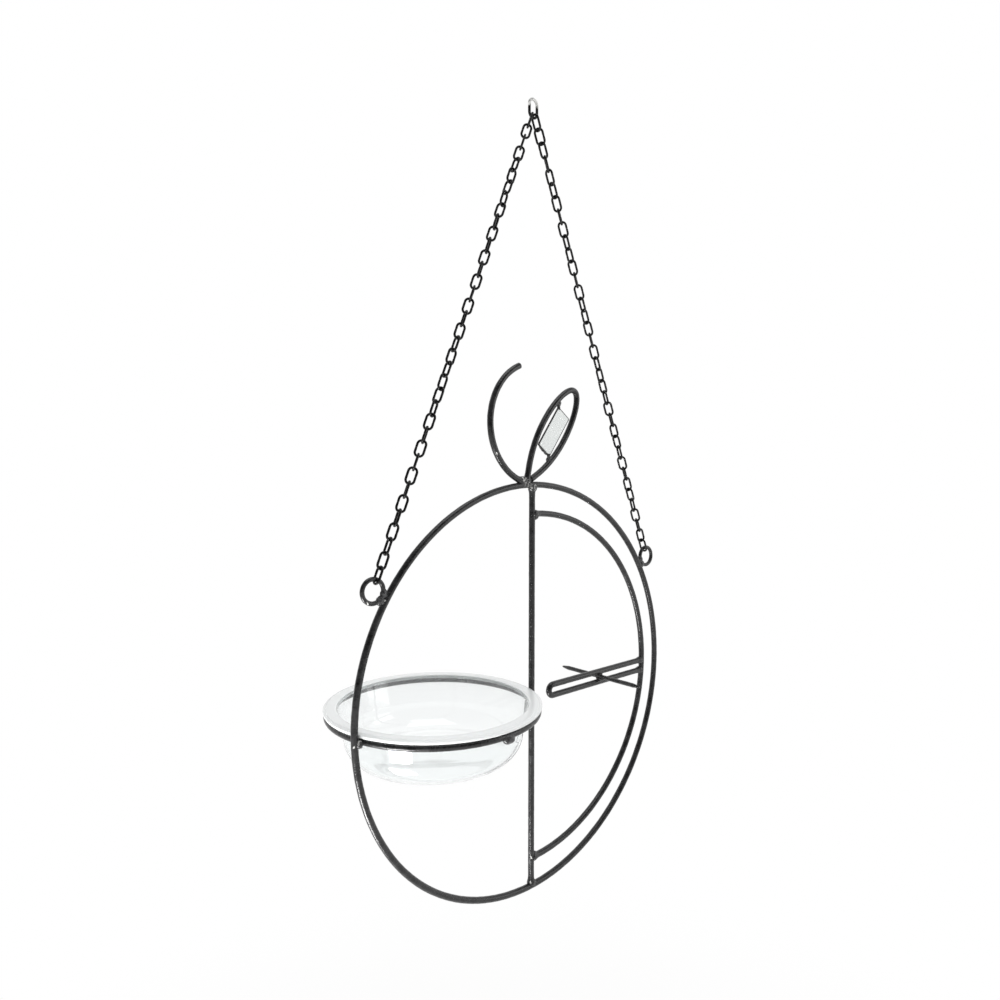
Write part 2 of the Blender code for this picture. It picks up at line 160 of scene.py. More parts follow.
def arc(centre: Array, radius: float, start: float, end: float, count: int) -> Array:
    """Return points of an arc in the XZ plane: centre + radius (cos t, 0, sin t).

    Args:
        centre: middle of the arc.
        radius: distance of the points from it.
        start: first turn in radians, counted from +X towards +Z.
        end: last turn.
        count: number of points.

    Returns:
        Array of count points.
    """
    turn = np.linspace(start, end, count)
    return centre + radius * (np.cos(turn)[:, None] * ACROSS + np.sin(turn)[:, None] * UP)


def run_length(path: Array) -> Array:
    """Return the distance from a path's first point to each point, along the path."""
    steps = np.linalg.norm(np.diff(path, axis=0), axis=1)
    return np.concatenate([[0.0], np.cumsum(steps)])


def evenly(path: Array, row: float = WIRE_ROW) -> Array:
    """Return a path with its points spread evenly, by straight lines between the given points.

    Args:
        path: points along a wire.
        row: wished distance between points.

    Returns:
        New points from the same first point to the same last point.
    """
    run = run_length(path)
    places = np.linspace(0.0, run[-1], max(3, int(np.ceil(run[-1] / row)) + 1))
    return np.stack([np.interp(places, run, path[:, axis]) for axis in range(3)], axis=1)


@dataclass(frozen=True)
class Unevenness:
    """A smooth random height in space: the mean of sine waves in fixed random directions.

    Attributes:
        size: typical distance between crests.
        height: height that crests seldom pass.
        seed: choice of directions and phases.
        waves: number of sine waves.
        lengths: shortest and longest wave, as shares of the size.
    """

    size: float
    height: float
    seed: int = 5
    waves: int = 9
    lengths: Span = (0.6, 1.6)

    def at(self, points: Array) -> Array:
        """Return the height at each point.

        Args:
            points: array with coordinates on its last axis.

        Returns:
            Heights, one for each point.
        """
        chance = np.random.default_rng(self.seed)
        course = unit(chance.normal(size=(self.waves, 3)))
        length = self.size * chance.uniform(*self.lengths, self.waves)
        phase = chance.uniform(0.0, FULL_TURN, self.waves)
        waves = np.sin(points @ (course * (FULL_TURN / length)[:, None]).T + phase)
        # the mean of so many waves seldom passes a half, so it is doubled
        return self.height * 2.0 * waves.mean(axis=-1)


COAT_BUILD = 0.08 * MM      # thickness of the powder coat on a frame wire
COAT_UNEVENNESS = Unevenness(size=5.0 * MM, height=0.035 * MM)
BEAD_UNEVENNESS = Unevenness(size=2.6 * MM, height=0.34 * MM, seed=11)


@dataclass
class Surface:
    """Points and faces of one closed surface.

    Attributes:
        points: coordinates, one row each.
        quads: four point numbers for each face.
        caps: point numbers of the many-sided faces that close open ends.
        marks: values at the points for the finish to read.
    """

    points: Array
    quads: Array
    caps: list[Array] = field(default_factory=list)
    marks: dict[Mark, Array] = field(default_factory=dict)

    @classmethod
    def from_grid(cls, grid: Array, ring_rows: bool) -> Surface:
        """Return the surface of a grid whose columns run round and close on themselves.

        Args:
            grid: points as (row, column, coordinate).
            ring_rows: True where the last row joins the first; otherwise both ends are capped.

        Returns:
            The surface, with its faces pointing outwards.
        """
        rows, columns = grid.shape[:2]
        number = np.arange(rows * columns).reshape(rows, columns)
        here = number if ring_rows else number[:-1]
        ahead = np.roll(number, -1, axis=0) if ring_rows else number[1:]
        quads = np.stack([here, np.roll(here, -1, 1), np.roll(ahead, -1, 1), ahead], axis=-1)
        caps = [] if ring_rows else [number[0][::-1], number[-1]]
        surface = cls(grid.reshape(-1, 3), quads.reshape(-1, 4), caps)
        return surface if surface.volume() > 0 else surface.inside_out()

    def volume(self) -> float:
        """Return the enclosed volume: the sum of the pyramids from the middle to every face.

        Returns:
            The volume without the caps' share, negative where faces point inwards.
        """
        corner = (self.points - self.points.mean(axis=0))[self.quads]
        first = np.cross(corner[:, 1], corner[:, 2])
        second = np.cross(corner[:, 2], corner[:, 3])
        return float(np.einsum("ij,ij->", corner[:, 0], first + second) / 6)

    def inside_out(self) -> Surface:
        """Return the same surface with every face turned round."""
        return Surface(self.points, self.quads[:, ::-1], [cap[::-1] for cap in self.caps], self.marks)


def make_piece(name: str, surfaces: Sequence[Surface], material: bpy.types.Material) -> bpy.types.Object:
    """Return one object that holds several surfaces, smooth, at the origin.

    Args:
        name: the object's name.
        surfaces: what it is made of.
        material: its finish.

    Returns:
        The new object, linked to the scene.
    """
    starts = np.cumsum([0] + [len(surface.points) for surface in surfaces])[:-1]
    points = np.concatenate([surface.points for surface in surfaces])
    quads = np.concatenate([surface.quads + start for surface, start in zip(surfaces, starts)])
    caps = [(cap + start).tolist() for surface, start in zip(surfaces, starts) for cap in surface.caps]
    mesh = bpy.data.meshes.new(name)
    mesh.from_pydata(points.tolist(), [], quads.tolist() + caps)
    mesh.polygons.foreach_set("use_smooth", np.ones(len(mesh.polygons), dtype=bool))
    for mark in Mark:
        parts = [surface.marks.get(mark, np.zeros(len(surface.points))) for surface in surfaces]
        layer = mesh.attributes.new(mark.value, "FLOAT", "POINT")
        layer.data.foreach_set("value", np.concatenate(parts).astype(np.float32))
    mesh.materials.append(material)
    mesh.update()
    piece = bpy.data.objects.new(name, mesh)
    bpy.context.scene.collection.objects.link(piece)
    LOG.info("piece %s: %d faces", name, len(mesh.polygons))
    return piece


def settle(piece: bpy.types.Object, body: Body, nodes: Iterable[str] = ()) -> None:
    """Let a piece ride on a body and the nodes that it stands for.

    Args:
        piece: the object.
        body: the rigid body it moves with.
        nodes: names of the solids that it replaces.
    """
    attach(piece, body.value)
    names = list(nodes)
    if names:
        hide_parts(*names)


def round_wire(
    path: Array,
    normal: Array,
    radius: Array,
    ring: bool,
    sides: int = WIRE_SIDES,
    coat: Unevenness | None = COAT_UNEVENNESS,
) -> Surface:
    """Return a round wire along a flat path.

    A point is path + radius (cos a * side + sin a * normal), where side is normal x tangent and a
    goes once round; the coat's thickness and unevenness are added to the radius.

    Args:
        path: points along the wire's middle.
        normal: unit vector square to the plane of the path.
        radius: the wire's radius at each point.
        ring: True where the path closes on itself.
        sides: number of columns round the wire.
        coat: unevenness of the coat, or None.

    Returns:
        The wire's surface.
    """
    tangent = np.roll(path, -1, 0) - np.roll(path, 1, 0) if ring else np.gradient(path, axis=0)
    side = unit(np.cross(normal, tangent))
    turn = FULL_TURN * np.arange(sides) / sides
    outwards = np.cos(turn)[:, None] * side[:, None, :] + np.sin(turn)[:, None] * normal
    grid = path[:, None, :] + radius[:, None, None] * outwards
    if coat is not None:
        grid = grid + (COAT_BUILD + coat.at(grid))[..., None] * outwards
    return Surface.from_grid(grid, ring)


def with_round_ends(path: Array, radius: Array, bevel: float, steps: int = 5) -> tuple[Array, Array]:
    """Return a wire's path and radius with a quarter round added at both ends.

    The added points go on by bevel sin t while the radius falls by bevel (1 - cos t).

    Args:
        path: points along the wire.
        radius: radius at each point.
        bevel: size of the quarter round.
        steps: number of rows in it.

    Returns:
        The longer path and its radius.
    """
    turn = np.linspace(0.0, np.pi / 2, steps + 1)[1:]
    head = path[0] + unit(path[0] - path[1]) * bevel * np.sin(turn)[::-1, None]
    tail = path[-1] + unit(path[-1] - path[-2]) * bevel * np.sin(turn)[:, None]
    fall = bevel * (1 - np.cos(turn))
    new_radius = np.concatenate([radius[0] - fall[::-1], radius, radius[-1] - fall])
    return np.concatenate([head, path, tail]), new_radius


def turned(profile: Array, centre: Array, columns: int) -> Surface:
    """Return a turned surface: each profile point (r, z) goes round as (r cos a, r sin a, z).

    Args:
        profile: points as (radius, height), neither end on the axis.
        centre: foot of the axis.
        columns: number of columns round the axis.

    Returns:
        The surface, capped where the profile starts and ends.
    """
    turn = FULL_TURN * np.arange(columns) / columns
    level = np.cos(turn)[:, None] * ACROSS + np.sin(turn)[:, None] * BACK
    grid = centre + profile[:, 0, None, None] * level + profile[:, 1, None, None] * UP
    return Surface.from_grid(grid, ring_rows=False)


def bend(centre: tuple[float, float], radius: float, start: float, end: float, count: int) -> Array:
    """Return profile points of a round corner: centre + radius (cos t, sin t), turns in degrees."""
    turn = np.radians(np.linspace(start, end, count))
    return np.array(centre) + radius * np.stack([np.cos(turn), np.sin(turn)], axis=1)


@dataclass(frozen=True)
class Weld:
    """One weld bead: a lumpy ellipsoid over the place where two wires meet.

    Attributes:
        spot: middle of the bead.
        radii: its half sizes along its own X, along Y and along its own Z.
        turn: turn of its own X and Z about the Y axis, in radians.
        highlight_lines: share of the thin lines of painted highlight drawn near it.
    """

    spot: Array
    radii: tuple[float, ...]
    turn: float = 0.0
    highlight_lines: float = 0.0

    def surface(self, rows: int = 16, columns: int = 22) -> Surface:
        """Return the bead: spot + radii times a point of the unit sphere, pushed out unevenly.

        Args:
            rows: number of rows from pole to pole.
            columns: number of columns round the poles.

        Returns:
            The closed surface, marked all over as weld and with its share of painted highlight lines.
        """
        polar = np.linspace(POLE_TURN, np.pi - POLE_TURN, rows)[:, None]
        turn = (FULL_TURN * np.arange(columns) / columns)[None, :]
        own_x = np.cos(self.turn) * ACROSS + np.sin(self.turn) * UP
        own_z = np.cos(self.turn) * UP - np.sin(self.turn) * ACROSS
        sphere = np.stack(
            [np.sin(polar) * np.cos(turn), np.sin(polar) * np.sin(turn), np.cos(polar) * np.ones_like(turn)],
            axis=-1,
        )
        axes = np.stack([own_x, BACK, own_z])
        outwards = sphere @ axes
        grid = self.spot + sphere @ (axes * np.array(self.radii)[:, None])
        grid = grid + BEAD_UNEVENNESS.at(grid)[..., None] * outwards
        bead = Surface.from_grid(grid, ring_rows=False)
        bead.marks[Mark.WELD] = np.ones(len(bead.points))
        # painted highlight lines on the bead, by its share
        bead.marks[Mark.CRACK] = np.full(len(bead.points), self.highlight_lines)
        return bead


@dataclass(frozen=True)
class Chip:
    """A small long painted glint: a near-white spot that stands in for a highlight on the wire.

    Attributes:
        spot: its middle.
        course: unit vector along its length.
        reach: half of its width.
        stretch: its length as a multiple of its width.
    """

    spot: Array
    course: Array
    reach: float
    stretch: float = 2.6

    def mark(self, points: Array) -> Array:
        """Return exp(-d^2) at points, where d counts half widths, or half lengths along the chip.

        Args:
            points: coordinates, one row each.

        Returns:
            Values from 0 to 1, one for each point.
        """
        away = points - self.spot
        along = away @ self.course
        beside = np.sum(away ** 2, axis=-1) - along ** 2
        return np.exp(-(beside + (along / self.stretch) ** 2) / self.reach ** 2)


@dataclass
class WeldPlan:
    """All weld beads and painted glints of the frame, which mark the wires near them.

    Attributes:
        welds: the beads.
        painted_glints: the painted glints, bright spots that stand in for highlights.
        weld_reach: distance over which heat marks fade along a wire.
        highlight_line_reach: distance over which the painted highlight lines go on along a wire.
    """

    welds: list[Weld]
    painted_glints: list[Chip]
    weld_reach: float = 3.4 * MM
    highlight_line_reach: float = 3.0 * MM

    def marked(self, surface: Surface) -> Surface:
        """Return a surface with its weld marks, its painted highlight lines and its painted glints.

        The weld and highlight line marks are exp(-(distance / reach)^2) from the nearest bead, the latter
        times the bead's share of painted highlight lines.

        Args:
            surface: a wire of the frame.

        Returns:
            The same surface.
        """
        none = np.zeros(len(surface.points))
        weld, crack, chip = none, none, none
        for bead in self.welds:
            away = np.linalg.norm(surface.points - bead.spot, axis=1)
            weld = np.maximum(weld, np.exp(-((away / self.weld_reach) ** 2)))
            crack = np.maximum(crack, bead.highlight_lines * np.exp(-((away / self.highlight_line_reach) ** 2)))
        for place in self.painted_glints:
            chip = np.maximum(chip, place.mark(surface.points))
        surface.marks.update({Mark.WELD: weld, Mark.CRACK: crack, Mark.CHIP: chip})
        return surface


def linear(colour: str) -> tuple[float, float, float, float]:
    """Return a shader colour for an sRGB hex value, by the sRGB curve.

    Args:
        colour: text such as "#2b2b2b".

    Returns:
        Linear red, green, blue and an alpha of 1.
    """
    share = np.array([int(colour[place:place + 2], 16) for place in (1, 3, 5)]) / 255
    light = np.where(share <= 0.04045, share / 12.92, ((share + 0.055) / 1.055) ** 2.4)
    return (*light.tolist(), 1.0)


def add_node(tree: bpy.types.NodeTree, kind: str, inputs: dict[Any, Any], **settings: Any) -> bpy.types.Node:
    """Add a node with its settings, and give each input a value or a link.

    Args:
        tree: the material's node tree.
        kind: Blender's name of the node type.
        inputs: input name or number to a value, or to the output socket that feeds it.
        settings: properties of the node.

    Returns:
        The new node.
    """
    node = tree.nodes.new(kind)
    for name, value in settings.items():
        setattr(node, name, value)
    for name, value in inputs.items():
        if isinstance(value, bpy.types.NodeSocket):
            tree.links.new(value, node.inputs[name])
        else:
            node.inputs[name].default_value = value
    return node


# Numbers of the colour sockets on a Mix node that mixes colours
MIX_A, MIX_B, MIX_RESULT = 6, 7, 2
# Middle value of a noise node
NOISE_MIDDLE = 0.5


class Finish(ABC):
    """A material of the feeder, made once."""

    name: str

    def material(self) -> bpy.types.Material:
        """Make the material and build its shader's nodes.

        Returns:
            The new material.
        """
        made = bpy.data.materials.new(self.name)
        made.use_nodes = True
        tree = made.node_tree
        tree.nodes.clear()
        shader = self.shader(tree)
        add_node(tree, "ShaderNodeOutputMaterial", {"Surface": shader.outputs[0]})
        return made

    @abstractmethod
    def shader(self, tree: bpy.types.NodeTree) -> bpy.types.Node:
        """Add the finish's nodes to a tree and return the shader node."""


@dataclass(frozen=True)
class PowderCoat(Finish):
    """Fine-texture powder coat, baked on mild steel wire.

    The eye sees a charcoal skin with a dark core and paler edges, mottled like fine leather, with
    paler scale on the welds, and painted highlights: thin bright lines near some welds and a few bright
    glints.

    Attributes:
        name: the material's name.
        dark: dark colour of the mottling.
        pale: pale colour of the mottling.
        weld: colour of weld scale.
        bare: near-white colour of the painted highlight lines and painted glints.
        cloud_size: width of a cloud in the mottling.
        grain_size: width of a grain.
        grain_depth: height of the grain.
        highlight_line_size: typical distance between the painted highlight lines.
        highlight_line_width: half width of a painted highlight line, as a step in its noise.
        mottle_span: cloud plus grain where the colour is dark and where it is pale.
        weld_span: mark times grain where weld scale begins and where it is full.
        highlight_line_span: mark times line pattern where a painted highlight line begins and where it is
            full.
        glint_span: mark times grain where a painted glint begins and where it is full.
        gloss_span: cloud where the coat is smoothest and where it is roughest.
        smooth: least roughness.
        rough: greatest roughness.
    """

    name: str = "powder_coated_steel_wire"
    dark: str = "#080809"
    pale: str = "#2c2c2d"
    weld: str = "#4a4a4b"
    # near-white paint for the painted highlight lines and the painted glints
    bare: str = "#e2e2df"
    cloud_size: float = 6.0 * MM
    # the real grain is about half as wide, too fine to show in the render
    grain_size: float = 1.1 * MM
    grain_depth: float = 0.09 * MM
    highlight_line_size: float = 3.2 * MM
    highlight_line_width: float = 0.05
    mottle_span: Span = (0.74, 1.26)
    weld_span: Span = (0.2, 0.7)
    highlight_line_span: Span = (0.1, 1.1)
    glint_span: Span = (0.2, 0.3)
    gloss_span: Span = (0.3, 0.7)
    smooth: float = 0.2
    rough: float = 0.36

    def shader(self, tree: bpy.types.NodeTree) -> bpy.types.Node:
        """Add the coat's nodes to a tree.

        Args:
            tree: the material's node tree.

        Returns:
            The shader node.
        """
        place = add_node(tree, "ShaderNodeTexCoord", {}).outputs["Object"]
        cloud = add_node(
            tree, "ShaderNodeTexNoise", {"Vector": place, "Scale": 1 / self.cloud_size, "Detail": 2.0},
        )
        grain = add_node(
            tree, "ShaderNodeTexNoise", {"Vector": place, "Scale": 1 / self.grain_size, "Detail": 2.0},
        )
        mottle = add_node(
            tree, "ShaderNodeMath", {0: cloud.outputs[0], 1: grain.outputs[0]}, operation="ADD",
        )
        low, high = self.mottle_span
        depth = add_node(
            tree, "ShaderNodeMapRange", {"Value": mottle.outputs[0], "From Min": low, "From Max": high},
        )
        skin = add_node(
            tree, "ShaderNodeMix",
            {0: depth.outputs[0], MIX_A: linear(self.dark), MIX_B: linear(self.pale)}, data_type="RGBA",
        )
        # painted highlight lines run where a third noise passes its middle value
        vein = add_node(
            tree, "ShaderNodeTexNoise", {"Vector": place, "Scale": 1 / self.highlight_line_size, "Detail": 1.0},
        )
        off = add_node(tree, "ShaderNodeMath", {0: vein.outputs[0], 1: NOISE_MIDDLE}, operation="SUBTRACT")
        size = add_node(tree, "ShaderNodeMath", {0: off.outputs[0]}, operation="ABSOLUTE")
        line = add_node(
            tree, "ShaderNodeMapRange",
            {"Value": size.outputs[0], "From Max": self.highlight_line_width, "To Min": 1.0, "To Max": 0.0},
        )
        # weld scale and painted glints show first where the grain is high
        colour = skin.outputs[MIX_RESULT]
        for mark, pattern, shade, (low, high) in (
            (Mark.WELD, grain, self.weld, self.weld_span),
            (Mark.CRACK, line, self.bare, self.highlight_line_span),
            (Mark.CHIP, grain, self.bare, self.glint_span),
        ):
            value = add_node(tree, "ShaderNodeAttribute", {}, attribute_name=mark.value).outputs["Fac"]
            broken = add_node(
                tree, "ShaderNodeMath", {0: value, 1: pattern.outputs[0]}, operation="MULTIPLY",
            )
            share = add_node(
                tree, "ShaderNodeMapRange", {"Value": broken.outputs[0], "From Min": low, "From Max": high},
            )
            colour = add_node(
                tree, "ShaderNodeMix",
                {0: share.outputs[0], MIX_A: colour, MIX_B: linear(shade)}, data_type="RGBA",
            ).outputs[MIX_RESULT]
        low, high = self.gloss_span
        gloss = add_node(
            tree, "ShaderNodeMapRange",
            {"Value": cloud.outputs[0], "From Min": low, "From Max": high,
             "To Min": self.smooth, "To Max": self.rough},
        )
        bump = add_node(
            tree, "ShaderNodeBump",
            {"Height": grain.outputs[0], "Distance": self.grain_depth, "Strength": 1.0},
        )
        return add_node(
            tree, "ShaderNodeBsdfPrincipled",
            {"Base Color": colour, "Roughness": gloss.outputs[0], "Normal": bump.outputs[0],
             "Specular IOR Level": 0.5},
        )


@dataclass(frozen=True)
class BlackChain(Finish):
    """Black lacquer dipped over bent steel wire.

    The eye sees a deep black with small sharp lights, and a painted highlight of bright steel on the hang
    link's top, where a hook also rubs.

    Attributes:
        name: the material's name.
        black: dark colour of the lacquer.
        grey: pale colour of the lacquer.
        worn_highlight_colour: colour of the painted highlight on the hang link's top, bright steel.
        cloud_size: width of a cloud in colour and gloss.
        worn_highlight_span: mark times cloud where that painted highlight begins and where it is full.
        gloss_span: cloud where the lacquer is smoothest and where it is roughest.
        smooth: least roughness.
        rough: greatest roughness.
    """

    name: str = "black_lacquered_chain"
    black: str = "#030303"
    grey: str = "#0c0c0d"
    worn_highlight_colour: str = "#dcdcda"
    cloud_size: float = 2.2 * MM
    worn_highlight_span: Span = (0.3, 0.5)
    gloss_span: Span = (0.3, 0.7)
    smooth: float = 0.24
    rough: float = 0.42

    def shader(self, tree: bpy.types.NodeTree) -> bpy.types.Node:
        """Add the lacquer's nodes to a tree.

        Args:
            tree: the material's node tree.

        Returns:
            The shader node.
        """
        place = add_node(tree, "ShaderNodeTexCoord", {}).outputs["Object"]
        cloud = add_node(
            tree, "ShaderNodeTexNoise", {"Vector": place, "Scale": 1 / self.cloud_size, "Detail": 4.0},
        )
        lacquer = add_node(
            tree, "ShaderNodeMix",
            {0: cloud.outputs[0], MIX_A: linear(self.black), MIX_B: linear(self.grey)}, data_type="RGBA",
        )
        # painted highlight of bright steel on the hang link's top, which also stands for hook wear
        rub = add_node(tree, "ShaderNodeAttribute", {}, attribute_name=Mark.RUB.value)
        patch = add_node(
            tree, "ShaderNodeMath", {0: rub.outputs["Fac"], 1: cloud.outputs[0]}, operation="MULTIPLY",
        )
        low, high = self.worn_highlight_span
        worn_highlight_share = add_node(
            tree, "ShaderNodeMapRange", {"Value": patch.outputs[0], "From Min": low, "From Max": high},
        )
        colour = add_node(
            tree, "ShaderNodeMix",
            {0: worn_highlight_share.outputs[0], MIX_A: lacquer.outputs[MIX_RESULT], MIX_B: linear(self.worn_highlight_colour)},
            data_type="RGBA",
        )
        low, high = self.gloss_span
        gloss = add_node(
            tree, "ShaderNodeMapRange",
            {"Value": cloud.outputs[0], "From Min": low, "From Max": high,
             "To Min": self.smooth, "To Max": self.rough},
        )
        return add_node(
            tree, "ShaderNodeBsdfPrincipled",
            {"Base Color": colour.outputs[MIX_RESULT], "Roughness": gloss.outputs[0],
             "Specular IOR Level": 0.3},
        )


@dataclass(frozen=True)
class ClearPlastic(Finish):
    """Clear polystyrene, injection moulded.

    The eye sees a colourless wall, slightly wavy from the mould, and a rim that is milky and matt.

    Attributes:
        name: the material's name.
        tint: colour of the plastic.
        wave_size: width of a wave in the wall.
        wave_depth: height of those waves.
        clear: roughness where the plastic is clear.
        matt: roughness where it is milky.
        milky: share of the light that still passes where it is milky.
        ior: its index of refraction, set a little low for faint edges.
    """

    name: str = "clear_moulded_polystyrene"
    tint: str = "#fafcfc"
    wave_size: float = 14.0 * MM
    wave_depth: float = 0.05 * MM
    clear: float = 0.02
    matt: float = 0.2
    milky: float = 0.15
    ior: float = 1.46

    def shader(self, tree: bpy.types.NodeTree) -> bpy.types.Node:
        """Add the plastic's nodes to a tree.

        Args:
            tree: the material's node tree.

        Returns:
            The shader node.
        """
        place = add_node(tree, "ShaderNodeTexCoord", {}).outputs["Object"]
        wave = add_node(
            tree, "ShaderNodeTexNoise", {"Vector": place, "Scale": 1 / self.wave_size, "Detail": 1.0},
        )
        bump = add_node(
            tree, "ShaderNodeBump",
            {"Height": wave.outputs[0], "Distance": self.wave_depth, "Strength": 1.0},
        )
        frost = add_node(tree, "ShaderNodeAttribute", {}, attribute_name=Mark.FROST.value)
        rough = add_node(
            tree, "ShaderNodeMapRange",
            {"Value": frost.outputs["Fac"], "To Min": self.clear, "To Max": self.matt},
        )
        through = add_node(
            tree, "ShaderNodeMapRange",
            {"Value": frost.outputs["Fac"], "To Min": 1.0, "To Max": self.milky},
        )
        return add_node(
            tree, "ShaderNodeBsdfPrincipled",
            {"Base Color": linear(self.tint), "Roughness": rough.outputs[0], "IOR": self.ior,
             "Transmission Weight": through.outputs[0], "Normal": bump.outputs[0]},
        )


@dataclass(frozen=True)
class PaleEnamel(Finish):
    """Stoved enamel on sheet steel: a plain pale gloss with a trace of clouding.

    Attributes:
        name: the material's name.
        light: colour of the enamel.
        shade: colour of its clouds.
        cloud_size: width of a cloud.
        roughness: roughness of the enamel.
    """

    name: str = "pale_stoved_enamel"
    light: str = "#e9eceb"
    shade: str = "#e0e4e3"
    cloud_size: float = 5.0 * MM
    roughness: float = 0.3

    def shader(self, tree: bpy.types.NodeTree) -> bpy.types.Node:
        """Add the enamel's nodes to a tree.

        Args:
            tree: the material's node tree.

        Returns:
            The shader node.
        """
        place = add_node(tree, "ShaderNodeTexCoord", {}).outputs["Object"]
        cloud = add_node(
            tree, "ShaderNodeTexNoise", {"Vector": place, "Scale": 1 / self.cloud_size, "Detail": 1.0},
        )
        colour = add_node(
            tree, "ShaderNodeMix",
            {0: cloud.outputs[0], MIX_A: linear(self.light), MIX_B: linear(self.shade)}, data_type="RGBA",
        )
        return add_node(
            tree, "ShaderNodeBsdfPrincipled",
            {"Base Color": colour.outputs[MIX_RESULT], "Roughness": self.roughness, "Coat Weight": 0.3},
        )


@dataclass
class Workshop:
    """The finishes and the weld plan that all sub-assemblies share.

    Attributes:
        coat: finish of the frame's wires.
        lacquer: finish of the chains.
        plastic: finish of the bowl.
        enamel: finish of the plate.
        plan: weld beads and painted glints of the frame.
    """

    coat: bpy.types.Material
    lacquer: bpy.types.Material
    plastic: bpy.types.Material
    enamel: bpy.types.Material
    plan: WeldPlan

    def frame_wire(self, name: str, surface: Surface) -> None:
        """Make a coated wire of the frame that stands for the node of the same name."""
        piece = make_piece(name + "_wire", [self.plan.marked(surface)], self.coat)
        settle(piece, Body.FRAME, [name])

    def weld_beads(self, name: str, welds: Sequence[Weld]) -> None:
        """Make one piece of several weld beads."""
        piece = make_piece(name, [weld.surface() for weld in welds], self.coat)
        settle(piece, Body.FRAME)


@dataclass
class HoopFrame:
    """The hoop, its upright post, the inner arc and the two eyelets.

    Attributes:
        centre: middle of the hoop.
        wire: diameter of the frame's wire.
        radius: hoop's radius to the middle of the wire.
        arc_radius: the same for the inner arc.
        arc_right: inner arc's centre from the post.
        eyelet_wire: diameter of the eyelets' wire.
        eyelet_width: outside width of an eyelet.
        eyelet_turn: place of the eyelets round the hoop, above level.
        flare: share by which a welded end grows.
        flare_reach: length of that growth.
        eyelet_weld: middle of an eyelet's weld from the outside of the hoop's wire.
        bead_aside: each of the weld's two beads from that middle.
        bead_splay: turn of those beads away from each other.
    """

    centre: Array
    wire: float = 3.5 * MM
    radius: float = 120.0 * MM
    arc_radius: float = 102.9 * MM
    arc_right: float = 2.6 * MM
    eyelet_wire: float = 2.4 * MM
    eyelet_width: float = 14.5 * MM
    eyelet_turn: float = np.radians(32.5)
    flare: float = 0.38
    flare_reach: float = 2.2 * MM
    eyelet_weld: float = 1.2 * MM
    bead_aside: float = 1.9 * MM
    bead_splay: float = 0.35

    def spot(self, right: float, up: float, back: float = 0.0) -> Array:
        """Return a point given from the hoop's centre."""
        return self.centre + np.array([right, back, up])

    def on_hoop(self, path: Array, sink: float = WELD_SINK) -> Array:
        """Return the first part of a path, up to where it has sunk so far into the hoop's wire."""
        away = np.linalg.norm(path - self.centre, axis=1)
        return path[: int(np.argmax(away < self.radius + self.wire / 2 - sink))]

    def flared(self, path: Array, start: bool, end: bool) -> Array:
        """Return a wire's radius, grown as r (1 + flare exp(-(s / reach)^2)) towards welded ends.

        Args:
            path: points along the wire.
            start: True where its first end is welded.
            end: True where its last end is welded.

        Returns:
            Radius at each point.
        """
        run = run_length(path)
        grown = np.zeros(len(path))
        if start:
            grown = grown + np.exp(-(((run - WELD_SINK) / self.flare_reach) ** 2))
        if end:
            grown = grown + np.exp(-(((run[-1] - run - WELD_SINK) / self.flare_reach) ** 2))
        return self.wire / 2 * (1 + self.flare * grown)

    def eyelet_centre(self, side: Side) -> Array:
        """Return the middle of an eyelet."""
        reach = self.radius + self.wire / 2 + GAP + self.eyelet_width / 2
        return self.spot(side.value * reach * np.cos(self.eyelet_turn), reach * np.sin(self.eyelet_turn))

    def welds(self) -> list[Weld]:
        """Place the beads of the post's ends, the arc's ends and the eyelets.

        Returns:
            The beads of the hoop.
        """
        half = self.wire / 2
        post_top = self.spot(0.0, self.radius - 1.9 * MM, -0.4 * MM)
        post_foot = self.spot(1.0 * MM, 1.2 * MM - self.radius)
        arc_top = self.spot(half + 0.8 * MM, self.arc_radius - 1.3 * MM)
        arc_foot = self.spot(half + 0.6 * MM, 0.4 * MM - self.arc_radius)
        beads = [
            Weld(post_top, mm(2.9, 2.4, 2.8), highlight_lines=1.0),
            Weld(post_foot, mm(3.1, 2.0, 2.1), turn=0.2),
            Weld(arc_top, mm(2.3, 2.0, 2.7), turn=-0.6, highlight_lines=0.7),
            Weld(arc_foot, mm(2.6, 1.85, 3.0), turn=0.5),
        ]
        for side in Side:
            outwards = unit(self.eyelet_centre(side) - self.centre)
            lean = float(np.arctan2(outwards[2], outwards[0]))
            aside = self.bead_aside * np.cross(BACK, outwards)
            spot = self.centre + outwards * (self.radius + half + self.eyelet_weld)
            beads.append(Weld(spot + aside, mm(2.0, 1.7, 2.6), turn=lean + self.bead_splay))
            beads.append(Weld(spot - aside, mm(2.3, 1.8, 2.3), turn=lean - self.bead_splay))
        return beads

    def front(self, spot: Array) -> Array:
        """Return the place on a wire's front left, for a place on its middle line."""
        return spot + FRONT_LEFT * self.wire / 2

    def painted_glints(self) -> list[Chip]:
        """Place the painted glints on post, hoop and left eyelet, on the side of the wires that the camera
        sees.

        Returns:
            The painted glints of the hoop.
        """
        slope = unit(np.array([0.5, 0.0, -1.0]))
        arc_foot = self.front(self.spot(0.0, 0.9 * MM - self.arc_radius))
        post_foot = self.front(self.spot(0.0, 2.4 * MM - self.radius))
        eyelet = self.eyelet_centre(Side.LEFT)
        return [
            Chip(arc_foot, slope, reach=0.65 * MM),
            Chip(post_foot, slope, reach=0.75 * MM),
            Chip(eyelet + np.array(mm(5.2, -1.0, -5.2)), ACROSS, reach=0.7 * MM),
            Chip(eyelet + np.array(mm(-3.6, -0.9, -5.4)), slope, reach=0.5 * MM),
        ]

